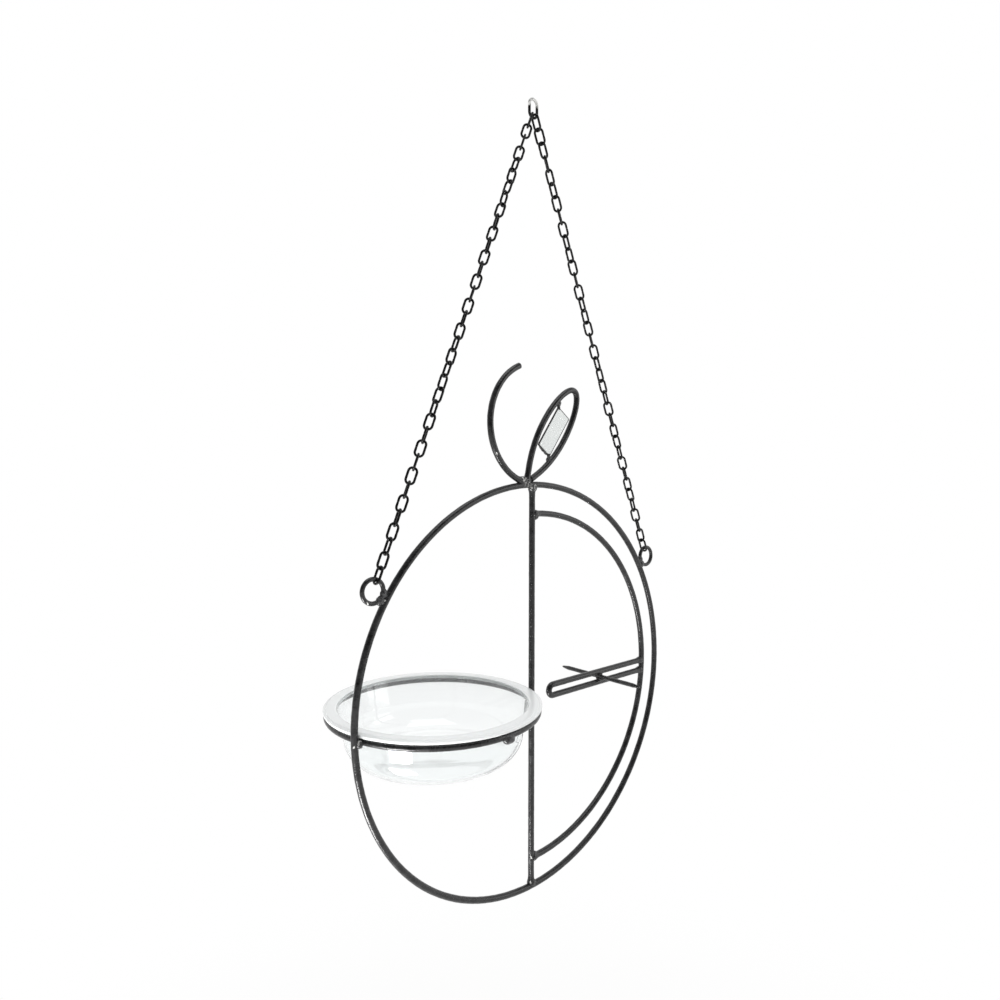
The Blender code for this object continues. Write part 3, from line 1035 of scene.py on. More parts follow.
    def build(self, shop: Workshop) -> None:
        """Make the hoop's wires and beads.

        Args:
            shop: finishes and weld plan.
        """
        half = self.wire / 2
        rows = int(FULL_TURN * self.radius / WIRE_ROW)
        hoop = arc(self.centre, self.radius, 0.0, FULL_TURN, rows + 1)[:-1]
        shop.frame_wire("hoop", round_wire(hoop, BACK, np.full(len(hoop), half), ring=True))
        reach = self.radius - half + WELD_SINK
        post = evenly(np.stack([self.spot(0.0, reach), self.spot(0.0, -reach)]))
        shop.frame_wire("centre_post", round_wire(post, BACK, self.flared(post, True, True), ring=False))
        turn = np.arccos((half - WELD_SINK - self.arc_right) / self.arc_radius)
        inner = evenly(arc(self.spot(self.arc_right, 0.0), self.arc_radius, turn, -turn, count=600))
        shop.frame_wire("inner_arc", round_wire(inner, BACK, self.flared(inner, True, True), ring=False))
        bend_radius = (self.eyelet_width - self.eyelet_wire) / 2
        # an eyelet's wire is measured over its coat
        bare = self.eyelet_wire / 2 - COAT_BUILD
        for side in Side:
            eyelet = arc(self.eyelet_centre(side), bend_radius, 0.0, FULL_TURN, EYELET_ROWS + 1)[:-1]
            surface = round_wire(eyelet, BACK, np.full(EYELET_ROWS, bare), ring=True)
            shop.frame_wire(f"eyelet_{side.word}", surface)
        shop.weld_beads("hoop_weld_beads", self.welds())


@dataclass
class BowlRing:
    """The level ring that carries the bowl, held between hoop and post.

    Attributes:
        hoop: the frame it is welded to.
        height: ring's height from the hoop's centre.
        back: how far its middle lies behind the hoop's plane.
        inset: gap that the beads bridge between ring and hoop or post.
        joint_turn: place of the butt weld that closes it.
        joint_size: diameter of that weld.
        joint_out: how far it stands out from the ring's middle line.
        joint_drop: how far it hangs below that line, so that the bowl's rim clears it.
        joint_shape: the butt weld's width, depth and height as shares of its diameter.
        bead_drops: how far the beads on hoop and post hang below the ring's middle line.
    """

    hoop: HoopFrame
    height: float = -3.5 * MM
    back: float = 16.0 * MM
    inset: float = 0.5 * MM
    joint_turn: float = np.radians(-88.0)
    joint_size: float = 4.9 * MM
    joint_out: float = 1.2 * MM
    joint_drop: float = 1.1 * MM
    joint_shape: tuple[float, float, float] = (1.5, 1.0, 1.12)
    bead_drops: tuple[float, ...] = mm(0.7, 0.9)

    @property
    def reach(self) -> float:
        """Return the distance from the ring's middle to hoop and post."""
        return float(np.hypot(self.middle_x, self.back))

    @property
    def middle_x(self) -> float:
        """Return the ring's middle along X, halfway between hoop and post."""
        return -float(np.sqrt(self.hoop.radius ** 2 - self.height ** 2)) / 2

    @property
    def centre(self) -> Array:
        """Return the middle of the ring."""
        return self.hoop.spot(self.middle_x, self.height, self.back)

    @property
    def radius(self) -> float:
        """Return the ring's radius to the middle of its wire."""
        return self.reach - self.hoop.wire - GAP - self.inset

    def around(self, turn: Array, radius: float) -> Array:
        """Return points at turns round the ring's middle, from +X towards +Y."""
        return self.centre + radius * (np.cos(turn)[..., None] * ACROSS + np.sin(turn)[..., None] * BACK)

    def welds(self) -> list[Weld]:
        """Place the ring's beads on hoop and post and the butt weld that closes it.

        Returns:
            The beads of the ring.
        """
        toward = np.arctan2(-self.back, np.array([self.middle_x, -self.middle_x]))
        held = self.around(toward, (self.reach + self.radius) / 2)
        joint = self.around(np.array(self.joint_turn), self.radius + self.joint_out)
        lump = tuple(self.joint_size / 2 * share for share in self.joint_shape)
        return [
            Weld(held[0] - self.bead_drops[0] * UP, mm(2.6, 3.4, 2.3), highlight_lines=0.7),
            Weld(held[1] - self.bead_drops[1] * UP, mm(2.1, 2.2, 2.2)),
            Weld(joint - self.joint_drop * UP, lump),
        ]

    def painted_glints(self) -> list[Chip]:
        """Place the painted glint on the hoop in front of the ring's weld.

        Returns:
            That one painted glint.
        """
        spot = self.hoop.spot(2 * self.middle_x + 0.2 * MM, self.height - 0.9 * MM)
        slope = unit(np.array([-0.45, 0.0, -1.0]))
        return [Chip(self.hoop.front(spot), slope, reach=0.5 * MM)]

    def build(self, shop: Workshop) -> None:
        """Make the ring and its beads.

        Args:
            shop: finishes and weld plan.
        """
        rows = int(FULL_TURN * self.radius / WIRE_ROW)
        path = self.around(FULL_TURN * np.arange(rows) / rows, self.radius)
        shop.frame_wire("bowl_ring", round_wire(path, UP, np.full(rows, self.hoop.wire / 2), ring=True))
        shop.weld_beads("ring_weld_beads", self.welds())


@dataclass
class FruitArm:
    """The hairpin arm between inner arc and post, and the double-ended spike across its slot.

    Attributes:
        hoop: the frame it is welded to.
        height: middle of the arm from the hoop's centre.
        start: closed end of the arm from the post's middle.
        spike_place: spike from the post's middle.
        spike_wire: diameter of the spike.
        spike_reach: spike's tip from the hoop's plane, front and back.
        taper: length of each point.
        tip: diameter left at the tip.
        tip_round: quarter round at the tip, as a share of that diameter.
        taper_power: below 1 for points that bulge a little.
        weld_in: bead of an end from the place where the arm has sunk into the arc.
    """

    hoop: HoopFrame
    height: float = -5.0 * MM
    start: float = 13.0 * MM
    spike_place: float = 61.5 * MM
    spike_wire: float = 2.5 * MM
    spike_reach: float = 32.0 * MM
    taper: float = 5.0 * MM
    tip: float = 0.9 * MM
    tip_round: float = 0.45
    taper_power: float = 0.8
    weld_in: float = 1.5 * MM

    @property
    def bend_radius(self) -> float:
        """Return the radius of the hairpin's bend, so that its slot just passes the spike."""
        return (self.spike_wire + self.hoop.wire) / 2 + GAP

    def end(self, up: float) -> Array:
        """Return where a leg of the arm, at a height, has sunk into the inner arc."""
        seat = self.hoop.arc_radius - self.hoop.wire / 2 + WELD_SINK
        return self.hoop.spot(self.hoop.arc_right + float(np.sqrt(seat ** 2 - up ** 2)), up)

    def welds(self) -> list[Weld]:
        """Place the beads of the arm's two ends and of the spike above and below.

        Returns:
            The beads of the arm.
        """
        beads = []
        for way in (1, -1):
            seat = self.end(self.height + way * self.bend_radius) - self.weld_in * ACROSS
            beads.append(Weld(seat, mm(2.3, 1.8, 1.9)))
            contact = self.height + way * (self.spike_wire / 2 + GAP / 2)
            beads.append(Weld(self.hoop.spot(self.spike_place, contact), mm(2.3, 2.2, 0.7)))
        return beads

    def build(self, shop: Workshop) -> None:
        """Make the arm, the spike and their beads.

        Args:
            shop: finishes and weld plan.
        """
        upper = self.height + self.bend_radius
        lower = self.height - self.bend_radius
        middle = self.hoop.spot(self.start + self.bend_radius + self.hoop.wire / 2, self.height)
        turn_back = arc(middle, self.bend_radius, np.pi / 2, 3 * np.pi / 2, count=60)
        path = evenly(np.concatenate([self.end(upper)[None], turn_back, self.end(lower)[None]]))
        shop.frame_wire("fruit_arm", round_wire(path, BACK, self.hoop.flared(path, True, True), ring=False))
        centre = self.hoop.spot(self.spike_place, self.height)
        along = np.linspace(-self.spike_reach, self.spike_reach, num=161)
        spike = centre + along[:, None] * BACK
        # each point narrows along a curve: full wire where the taper starts, the tip's size at the end
        into = np.clip((self.spike_reach - np.abs(along)) / self.taper, 0.0, 1.0)
        radius = (self.tip + (self.spike_wire - self.tip) * into ** self.taper_power) / 2
        path, radius = with_round_ends(spike, radius, self.tip * self.tip_round)
        shop.frame_wire("fruit_spike", round_wire(path, UP, radius, ring=False))
        shop.weld_beads("arm_weld_beads", self.welds())


@dataclass
class Crown:
    """The curled stem, the wire leaf and the small plate on top of the hoop.

    Attributes:
        hoop: the frame they are welded to.
        stem_radius: radius of the stem's curl.
        stem_centre: middle of the curl from the hoop's top, right and up.
        stem_tip: turn of the free end.
        stem_base: turn where the curl has passed into the hoop.
        leaf_length: length of the leaf's middle line.
        leaf_half_width: half width of the wire loop.
        leaf_lean: slope of the leaf above level.
        leaf_base: foot of the leaf from the hoop's top, right and up.
        narrowing: share of the width lost at the foot.
        narrowing_power: how late along the leaf that loss sets in.
        leaf_end: turn at which the loop runs on straight to the hoop.
        leaf_short: gap between the lower cut end and the hoop.
        plate_length: length of the plate.
        plate_width: width of the plate.
        plate_thick: thickness of the plate.
        plate_place: plate's middle along the leaf.
        plate_corner: radius of its corners.
        edge_width: width of the dark edge round the plate.
        edge_proud: how far that edge stands out beyond the plate.
        stub_wire: diameter of the stubs.
        stub_slant: slope of the stubs from the leaf's length.
        stub_margin: stub to the corner of the plate.
        leaf_run_on: length tried straight on from the loop, and cut where it meets the hoop.
        stub_run_on: length tried for a stub, and cut where it meets the leaf.
        stub_row: one row of faces along a stub.
        edge_power: below 1 for an edge whose round section has flat sides.
        edge_free: share of the edge's width that lies outside the panel.
        panel_thick: panel's thickness as a share of the edge's.
        panel_insets: outlines of the cap and of the face, inside the panel's outline.
        panel_round: depth over which the panel's edge is rounded.
        glint_place: place of the stem's painted glint, as a share of its length from the tip.
    """

    hoop: HoopFrame
    stem_radius: float = 35.1 * MM
    stem_centre: tuple[float, float] = (2.6 * MM, 35.5 * MM)
    stem_tip: float = np.radians(112.0)
    stem_base: float = np.radians(253.0)
    leaf_length: float = 65.0 * MM
    leaf_half_width: float = 10.4 * MM
    leaf_lean: float = np.radians(53.4)
    leaf_base: tuple[float, float] = (-2.3 * MM, 4.2 * MM)
    narrowing: float = 0.4
    narrowing_power: int = 4
    leaf_end: float = np.radians(145.0)
    leaf_short: float = 1.5 * MM
    plate_length: float = 0.427 * leaf_length
    plate_width: float = 1.046 * leaf_half_width
    plate_thick: float = 1.2 * MM
    plate_place: float = 0.522 * leaf_length
    plate_corner: float = 0.8 * MM
    edge_width: float = 0.65 * MM
    edge_proud: float = 0.45 * MM
    stub_wire: float = 1.8 * MM
    stub_slant: float = np.radians(42.0)
    stub_margin: float = 0.4 * MM
    leaf_run_on: float = 14.0 * MM
    stub_run_on: float = 12.0 * MM
    stub_row: float = 0.2 * MM
    edge_power: float = 0.5
    edge_free: float = 0.7
    panel_thick: float = 0.9
    panel_insets: tuple[float, ...] = mm(0.5, 0.12)
    panel_round: float = 0.1 * MM
    glint_place: float = 0.7

    @property
    def along(self) -> Array:
        """Return the direction from the leaf's foot to its tip."""
        return np.array([np.cos(self.leaf_lean), 0.0, np.sin(self.leaf_lean)])

    @property
    def aside(self) -> Array:
        """Return the direction across the leaf, towards its upper side."""
        return np.array([-np.sin(self.leaf_lean), 0.0, np.cos(self.leaf_lean)])

    @property
    def foot(self) -> Array:
        """Return the foot of the leaf's middle line."""
        return self.hoop.spot(self.leaf_base[0], self.hoop.radius + self.leaf_base[1])

    @property
    def plate_centre(self) -> Array:
        """Return the middle of the plate."""
        return self.foot + self.along * self.plate_place

    def stem_path(self) -> Array:
        """Return the stem from its free tip down into the hoop."""
        centre = self.hoop.spot(self.stem_centre[0], self.hoop.radius + self.stem_centre[1])
        return evenly(arc(centre, self.stem_radius, self.stem_tip, self.stem_base, count=400))

    def leaf_points(self, turn: Array) -> Array:
        """Return the leaf's loop: an ellipse narrowed by a power of the way down to its foot.

        Args:
            turn: turns from the tip, positive on the upper side.

        Returns:
            Points of the wire's middle.
        """
        down = (1 - np.cos(turn)) / 2
        wide = self.leaf_half_width * np.sin(turn) * (1 - self.narrowing * down ** self.narrowing_power)
        long = (1 - down) * self.leaf_length
        return self.foot + long[:, None] * self.along + wide[:, None] * self.aside

    def leaf_path(self) -> Array:
        """Trace the leaf's wire, out of the hoop, round the tip and back to just above the hoop.

        Returns:
            Points of the wire's middle.
        """
        loop = self.leaf_points(np.linspace(self.leaf_end, -self.leaf_end, num=700))
        straight = np.linspace(0.0, self.leaf_run_on, num=60)[1:, None]
        first = self.hoop.on_hoop(loop[0] + unit(loop[0] - loop[1]) * straight)
        last = self.hoop.on_hoop(loop[-1] + unit(loop[-1] - loop[-2]) * straight, -self.leaf_short)
        return evenly(np.concatenate([first[::-1], loop, last]))

    def stub_path(self, way: int) -> Array:
        """Return a stub from just inside the plate's end into the leaf's wire.

        Args:
            way: +1 for the stub towards the leaf's tip, -1 for the one towards its foot.

        Returns:
            Points along the stub.
        """
        half = self.stub_wire / 2
        course = way * (self.along * np.cos(self.stub_slant) + self.aside * np.sin(self.stub_slant))
        ahead = self.plate_length / 2 - half * np.sin(self.stub_slant)
        beside = self.plate_width / 2 - self.stub_margin - half * np.cos(self.stub_slant)
        start = self.plate_centre + way * (self.along * ahead + self.aside * beside)
        line = start + np.linspace(0.0, self.stub_run_on, num=240)[:, None] * course
        loop = self.leaf_path()
        nearest = np.linalg.norm(line[:, None, :] - loop[None], axis=-1).min(axis=1)
        return evenly(line[: int(np.argmax(nearest < self.hoop.wire / 2)) + 1], row=self.stub_row)

    def welds(self) -> list[Weld]:
        """Place the beads at the feet of stem and leaf, at the stubs and at the plate's foot.

        Returns:
            The beads of the crown.
        """
        stem_foot = self.stem_path()[-1] - 0.4 * MM * BACK + 0.6 * MM * UP
        leaf_foot = self.leaf_path()[0] - 0.7 * MM * ACROSS
        plate_foot = self.plate_centre - self.along * (self.plate_length / 2 + self.edge_proud)
        plate_bead = (0.44 * self.plate_width, *mm(0.8, 0.65))
        return [
            Weld(stem_foot, mm(3.3, 2.3, 2.4), turn=-0.3, highlight_lines=1.0),
            Weld(leaf_foot, mm(2.1, 2.1, 1.8), turn=0.3, highlight_lines=1.0),
            Weld(self.stub_path(1)[-1], mm(1.9, 1.4, 1.9), turn=self.leaf_lean),
            Weld(self.stub_path(-1)[-1], mm(2.2, 1.5, 1.9), turn=self.leaf_lean),
            Weld(plate_foot, plate_bead, turn=self.leaf_lean + np.pi / 2),
        ]

    def painted_glints(self) -> list[Chip]:
        """Place the painted glint on the stem.

        Returns:
            That one painted glint.
        """
        stem = self.stem_path()
        place = int(len(stem) * self.glint_place)
        course = unit(stem[place + 1] - stem[place])
        return [Chip(self.hoop.front(stem[place]), course, reach=0.5 * MM)]

    def outline(self, length: float, width: float, corner: float, count: int = 96) -> Array:
        """Return a rounded rectangle: corner centres plus corner (cos t, sin t), spread evenly in t.

        Args:
            length: size along the leaf.
            width: size across it.
            corner: radius of the corners.
            count: number of points.

        Returns:
            Points round the plate's middle, in the hoop's plane.
        """
        turn = FULL_TURN * (np.arange(count) + 0.5) / count
        long = np.sign(np.cos(turn)) * (length / 2 - corner) + corner * np.cos(turn)
        wide = np.sign(np.sin(turn)) * (width / 2 - corner) + corner * np.sin(turn)
        return self.plate_centre + long[:, None] * self.along + wide[:, None] * self.aside

    def plate_panel(self) -> Surface:
        """Make the pale panel: outlines stacked from back to front, drawn in at both faces.

        Returns:
            The panel's surface.
        """
        inside = 2 * (self.edge_width * self.edge_free - self.edge_proud)
        length = self.plate_length - inside
        width = self.plate_width - inside
        half = self.plate_thick / 2
        shoulder = half - self.panel_round
        cap, face = self.panel_insets
        layers = (
            (cap, -half), (face, -half), (0.0, -shoulder),
            (0.0, shoulder), (face, half), (cap, half),
        )
        rows = [
            self.outline(length - 2 * inset, width - 2 * inset, self.plate_corner)
            + deep * self.panel_thick * BACK
            for inset, deep in layers
        ]
        return Surface.from_grid(np.stack(rows), ring_rows=False)

    def plate_edge(self) -> Surface:
        """Make the dark edge: a small rounded section carried round the plate's outline.

        Returns:
            The edge's surface.
        """
        turn = FULL_TURN * np.arange(EDGE_SIDES) / EDGE_SIDES
        # a section with flat sides: sign(c) |c|^power squares the circle
        flat = np.sign(np.cos(turn)) * np.abs(np.cos(turn)) ** self.edge_power
        deep = np.sign(np.sin(turn)) * np.abs(np.sin(turn)) ** self.edge_power
        rows = [
            self.outline(
                self.plate_length + 2 * self.edge_proud - self.edge_width * (1 - inwards),
                self.plate_width + 2 * self.edge_proud - self.edge_width * (1 - inwards),
                self.plate_corner,
            )
            + depth * self.plate_thick / 2 * BACK
            for inwards, depth in zip(flat, deep)
        ]
        return Surface.from_grid(np.stack(rows), ring_rows=True)

    def build(self, shop: Workshop) -> None:
        """Make stem, leaf, stubs, plate and beads.

        Args:
            shop: finishes and weld plan.
        """
        stem = self.stem_path()
        path, radius = with_round_ends(stem, self.hoop.flared(stem, False, True), CUT_ROUND)
        shop.frame_wire("stem", round_wire(path, BACK, radius, ring=False))
        leaf = self.leaf_path()
        path, radius = with_round_ends(leaf, self.hoop.flared(leaf, True, False), CUT_ROUND)
        shop.frame_wire("leaf", round_wire(path, BACK, radius, ring=False))
        for name, way in (("plate_stub_upper", 1), ("plate_stub_lower", -1)):
            stub = self.stub_path(way)
            radius = np.full(len(stub), self.stub_wire / 2)
            shop.frame_wire(name, round_wire(stub, BACK, radius, ring=False, sides=STUB_SIDES))
        panel = make_piece("leaf_plate_panel", [self.plate_panel()], shop.enamel)
        settle(panel, Body.FRAME, ["leaf_plate"])
        edge = make_piece("leaf_plate_edge", [shop.plan.marked(self.plate_edge())], shop.coat)
        settle(edge, Body.FRAME)
        shop.weld_beads("crown_weld_beads", self.welds())


@dataclass
class ClearBowl:
    """The clear bowl whose flat rim lies on the ring.

    Attributes:
        ring: the ring that carries it.
        rim_thick: thickness of the rim.
        rim_round: radius of the rim's edges.
        rim_clearance: rim to hoop and post.
        body_clearance: wall to the inside of the ring.
        depth: rim's top to the underside.
        wall: thickness of wall and base.
        taper: lean of the wall from top to bottom.
        corner: outside bend between wall and base.
        neck: bend between wall and underside of the rim.
        step: depth of the shallow step round the rim's top.
        step_place: that step from the rim's outer edge.
        frost_fade: distance below the rim's top over which its milky look goes.
        haze: share of that look that the wall keeps just under the rim.
        haze_fade: distance down the wall over which the haze goes.
        pole: radius of the caps in the middle of floor and underside.
    """

    ring: BowlRing
    rim_thick: float = 2.2 * MM
    rim_round: float = 0.6 * MM
    rim_clearance: float = 0.4 * MM
    body_clearance: float = 2.5 * MM
    depth: float = 31.0 * MM
    wall: float = 1.2 * MM
    taper: float = 4.0 * MM
    corner: float = 15.0 * MM
    neck: float = 0.35 * MM
    step: float = 0.3 * MM
    step_place: float = 1.5 * MM
    frost_fade: float = 0.5 * MM
    haze: float = 0.16
    haze_fade: float = 9.0 * MM
    pole: float = 0.3 * MM

    @property
    def under(self) -> float:
        """Return the height of the rim's underside from the hoop's centre."""
        return self.ring.height + self.ring.hoop.wire / 2 + GAP

    def profile(self) -> Array:
        """Trace the bowl's section: straight lines joined by arcs, up over the rim and down again.

        Returns:
            Points as (radius, height), from the middle of the floor to the middle of the underside.
        """
        wire = self.ring.hoop.wire
        rim = self.ring.reach - wire / 2 - self.rim_clearance
        under = self.under
        top = under + self.rim_thick
        body = self.ring.radius - wire / 2 - self.body_clearance
        low = top - self.depth
        foot = body - self.taper - self.corner
        edge = self.rim_round
        lip = 2 * self.rim_round
        inner = self.corner - self.wall
        corner = (foot, low + self.corner)
        level = np.linspace(self.pole, foot, num=12)
        floor = np.stack([level, np.full_like(level, low + self.wall)], axis=1)
        underside = np.stack([level, np.full_like(level, low)], axis=1)
        up_wall = np.linspace(corner + np.array([inner, 0.0]), (body - self.wall, top - lip), num=14)
        down_wall = np.linspace((body, under - self.neck), corner + np.array([self.corner, 0.0]), num=14)
        return np.concatenate([
            floor[:-1],
            bend(corner, inner, -90, 0, count=18),
            up_wall[1:-1],
            bend((body - self.wall + lip, top - lip), lip, 180, 90, count=8),
            bend((rim - self.step_place - self.step, top - self.step), self.step, 90, 10, count=5),
            bend((rim - edge, top - self.step - edge), edge, 90, 0, count=7),
            bend((rim - edge, under + edge), edge, 0, -90, count=7),
            bend((body + self.neck, under - self.neck), self.neck, 90, 180, count=6),
            down_wall[1:-1],
            bend(corner, self.corner, 0, -90, count=18),
            underside[-2::-1],
        ])

    def build(self, shop: Workshop) -> None:
        """Make the bowl and mark where it is milky.

        Args:
            shop: finishes and weld plan.
        """
        axis = self.ring.hoop.spot(self.ring.middle_x, 0.0, self.ring.back)
        surface = turned(self.profile(), axis, BOWL_COLUMNS)
        # the rim is milky all over; on the wall that falls as exp(-(depth / fade)^2) to a slight haze
        away = np.linalg.norm((surface.points - axis)[:, :2], axis=1)
        on_rim = away > self.ring.radius - self.ring.hoop.wire / 2 - self.body_clearance + self.neck / 2
        deep = axis[2] + self.under + self.rim_thick - surface.points[:, 2]
        milky = np.maximum(on_rim, np.exp(-((deep / self.frost_fade) ** 2)))
        surface.marks[Mark.FROST] = np.maximum(milky, self.haze * np.exp(-deep / self.haze_fade))
        piece = make_piece("clear_bowl", [surface], shop.plastic)
        settle(piece, Body.BOWL, ["bowl"])


@dataclass
class TwinChains:
    """The hang link and the two chains of twisted oval links down to the eyelets.

    Attributes:
        hoop: the frame whose eyelets they hold.
        link_wire: diameter of a link's wire.
        lacquer: thickness of the lacquer on it.
        link_length: outside length of a link.
        link_width: outside width of a link.
        hang_wire: diameter of the hang link's wire.
        hang_length: outside length of the hang link.
        hang_width: outside width of the hang link.
        pairs: joined pairs of links in the head, upper and lower part of a chain.
        twists: for each side, twist in degrees against the number of links above the eyelet.
        fold_slack: room left between links where two parts of a chain meet.
        seam_depth: depth of the closing seam in one side of each link, as a share of its radius.
        seam_reach: half width of that seam.
        seam_crowding: above 1 to draw the rows of a straight side towards its seam.
        highlight_foot: height at which the painted highlight on the hang link's top begins.
        highlight_fade: height over which that painted highlight grows full.
    """

    hoop: HoopFrame
    link_wire: float = 1.3 * MM
    lacquer: float = 0.02 * MM
    link_length: float = 10.1 * MM
    link_width: float = 5.8 * MM
    hang_wire: float = 1.6 * MM
    hang_length: float = 12.0 * MM
    hang_width: float = 7.6 * MM
    pairs: tuple[int, int, int] = (2, 8, 8)
    twists: dict[Side, tuple[tuple[float, float], ...]] = field(default_factory=lambda: {
        Side.LEFT: (
            (0, 0), (10, -44), (15, -90), (16, -90), (22, -134),
            (27, -140), (31, -180), (32, -180), (33, -214), (36, -211),
        ),
        Side.RIGHT: (
            (0, 0), (15, -270), (16, -270), (31, -540),
            (32, -540), (33, -492), (34, -457), (36, -360),
        ),
    })
    fold_slack: float = 0.1 * MM
    seam_depth: float = 0.22
    seam_reach: float = 0.16 * MM
    seam_crowding: float = 1.6
    highlight_foot: float = -5.5 * MM
    highlight_fade: float = 3.0 * MM

    @property
    def count(self) -> int:
        """Return the number of links in one chain."""
        return 1 + 2 * sum(self.pairs)

    def oval(self, length: float, width: float, wire: float, bend_rows: int, side_rows: int) -> Array:
        """Return (across, along) points round a link: two half circles joined by straight sides.

        Args:
            length: outside length.
            width: outside width.
            wire: diameter of the wire.
            bend_rows: rows in each half circle.
            side_rows: rows in each straight side.

        Returns:
            Points of the wire's middle, closed.
        """
        radius = (width - wire) / 2
        straight = (length - wire) / 2 - radius
        turn = np.linspace(0.0, np.pi, bend_rows + 1)
        half = np.stack([radius * np.cos(turn), straight + radius * np.sin(turn)], axis=1)
        # rows of the straight sides lie closer together at their middle, where the seam is
        place = np.linspace(-1.0, 1.0, side_rows + 1)[1:-1]
        along = -straight * np.sign(place) * np.abs(place) ** self.seam_crowding
        side = np.stack([np.full(side_rows - 1, -radius), along], axis=1)
        return np.concatenate([half, side, -half, -side])

    def link(self, middle: Array, up: Array, across: Array, oval: Array, wire: float, seam: bool) -> Surface:
        """Return one link with a shallow closing seam.

        The radius dips by seam_depth exp(-(s / seam_reach)^2) at the middle of one straight side.

        Args:
            middle: the link's middle.
            up: direction of its length.
            across: direction of its width.
            oval: its outline as (across, along).
            wire: diameter of its wire.
            seam: True where it has a seam.

        Returns:
            The link's surface.
        """
        path = middle + oval[:, :1] * across + oval[:, 1:] * up
        radius = np.full(len(path), wire / 2 + self.lacquer)
        if seam:
            dip = np.exp(-((oval[:, 1] / self.seam_reach) ** 2)) * (oval[:, 0] < 0)
            radius = radius * (1 - self.seam_depth * dip)
        return round_wire(path, np.cross(across, up), radius, ring=True, sides=LINK_SIDES, coat=None)

    def twist(self, side: Side, above: int) -> float:
        """Return the turn of a link in radians, a quarter turn a link plus the chain's own twist."""
        keys = np.array(self.twists[side], dtype=float)
        return float(np.radians(90.0 * above + np.interp(above, keys[:, 0], keys[:, 1])))

    def chain(self, side: Side) -> list[Surface]:
        """Return the links of one chain from the hang link down.

        Args:
            side: which chain.

        Returns:
            One surface for each link.
        """
        inner = self.hang_width / 2 - self.hang_wire
        seat_half = (self.link_wire + GAP) / 2
        seat = inner - self.link_wire / 2 - GAP
        top_height = 2 * self.hang_wire - self.hang_length + inner - np.sqrt(seat ** 2 - seat_half ** 2)
        top = np.array([side.value * seat_half, 0.0, top_height])
        eyelet = self.hoop.eyelet_centre(side)
        up = unit(top - eyelet)
        bend_radius = (self.hoop.eyelet_width - self.hoop.eyelet_wire) / 2
        hook = bend_radius - self.hoop.eyelet_wire / 2 - self.link_wire / 2 - GAP
        half_reach = (self.link_length - self.link_wire) / 2
        total = float(np.linalg.norm(top - eyelet)) - hook - 2 * half_reach
        # steps between links: a touch of slack where parts meet, all others alike
        steps = np.zeros(self.count - 1)
        folds = [2 * self.pairs[0], 2 * (self.pairs[0] + self.pairs[1])]
        steps[folds] = self.link_length - 2 * self.link_wire - self.fold_slack
        steps[steps == 0.0] = (total - steps.sum()) / (self.count - 1 - len(folds))
        down = half_reach + np.concatenate([[0.0], np.cumsum(steps)])
        oval = self.oval(self.link_length, self.link_width, self.link_wire, bend_rows=14, side_rows=10)
        level = np.array([up[2], 0.0, -up[0]])
        links = []
        for number, drop in enumerate(down):
            turn = self.twist(side, self.count - 1 - number)
            across = -np.cos(turn) * BACK + np.sin(turn) * level
            links.append(self.link(top - up * drop, up, across, oval, self.link_wire, seam=True))
        return links

    def hang_link(self) -> Surface:
        """Make the hang link, with a painted highlight over its top, where a hook also rubs it bright.

        Returns:
            The link's surface.
        """
        oval = self.oval(self.hang_length, self.hang_width, self.hang_wire, bend_rows=20, side_rows=10)
        middle = (self.hang_wire - self.hang_length / 2) * UP
        surface = self.link(middle, UP, ACROSS, oval, self.hang_wire, seam=False)
        height = surface.points[:, 2]
        # painted highlight: bright towards the top of the hang link, where a hook also rubs
        surface.marks[Mark.RUB] = np.clip((height - self.highlight_foot) / self.highlight_fade, 0.0, 1.0)
        return surface

    def build(self, shop: Workshop) -> None:
        """Make the hang link, the head links and the joined pairs.

        Args:
            shop: finishes and weld plan.
        """
        hang = make_piece("hang_link_wire", [self.hang_link()], shop.lacquer)
        settle(hang, Body.HANGER, ["hang_link"])
        limits = np.cumsum(self.pairs)
        bodies = (Body.CHAIN_HEAD, Body.CHAIN_UPPER, Body.CHAIN_LOWER)
        for side in Side:
            links = self.chain(side)
            node = f"chain_{side.word}_head"
            head = make_piece(node + "_link", links[:1], shop.lacquer)
            settle(head, Body.CHAIN_HEAD, [node])
            for pair in range(sum(self.pairs)):
                node = f"chain_{side.word}_pair_{pair + 1:02d}"
                piece = make_piece(node + "_links", links[2 * pair + 1:2 * pair + 3], shop.lacquer)
                body = bodies[int(np.searchsorted(limits, pair, side="right"))]
                settle(piece, body, [node])


@dataclass(frozen=True)
class Lamp:
    """One soft square lamp.

    Attributes:
        name: its name.
        place: where it stands.
        width: width of its square.
        power: its power in watts.
    """

    name: str
    place: tuple[float, float, float]
    width: float
    power: float


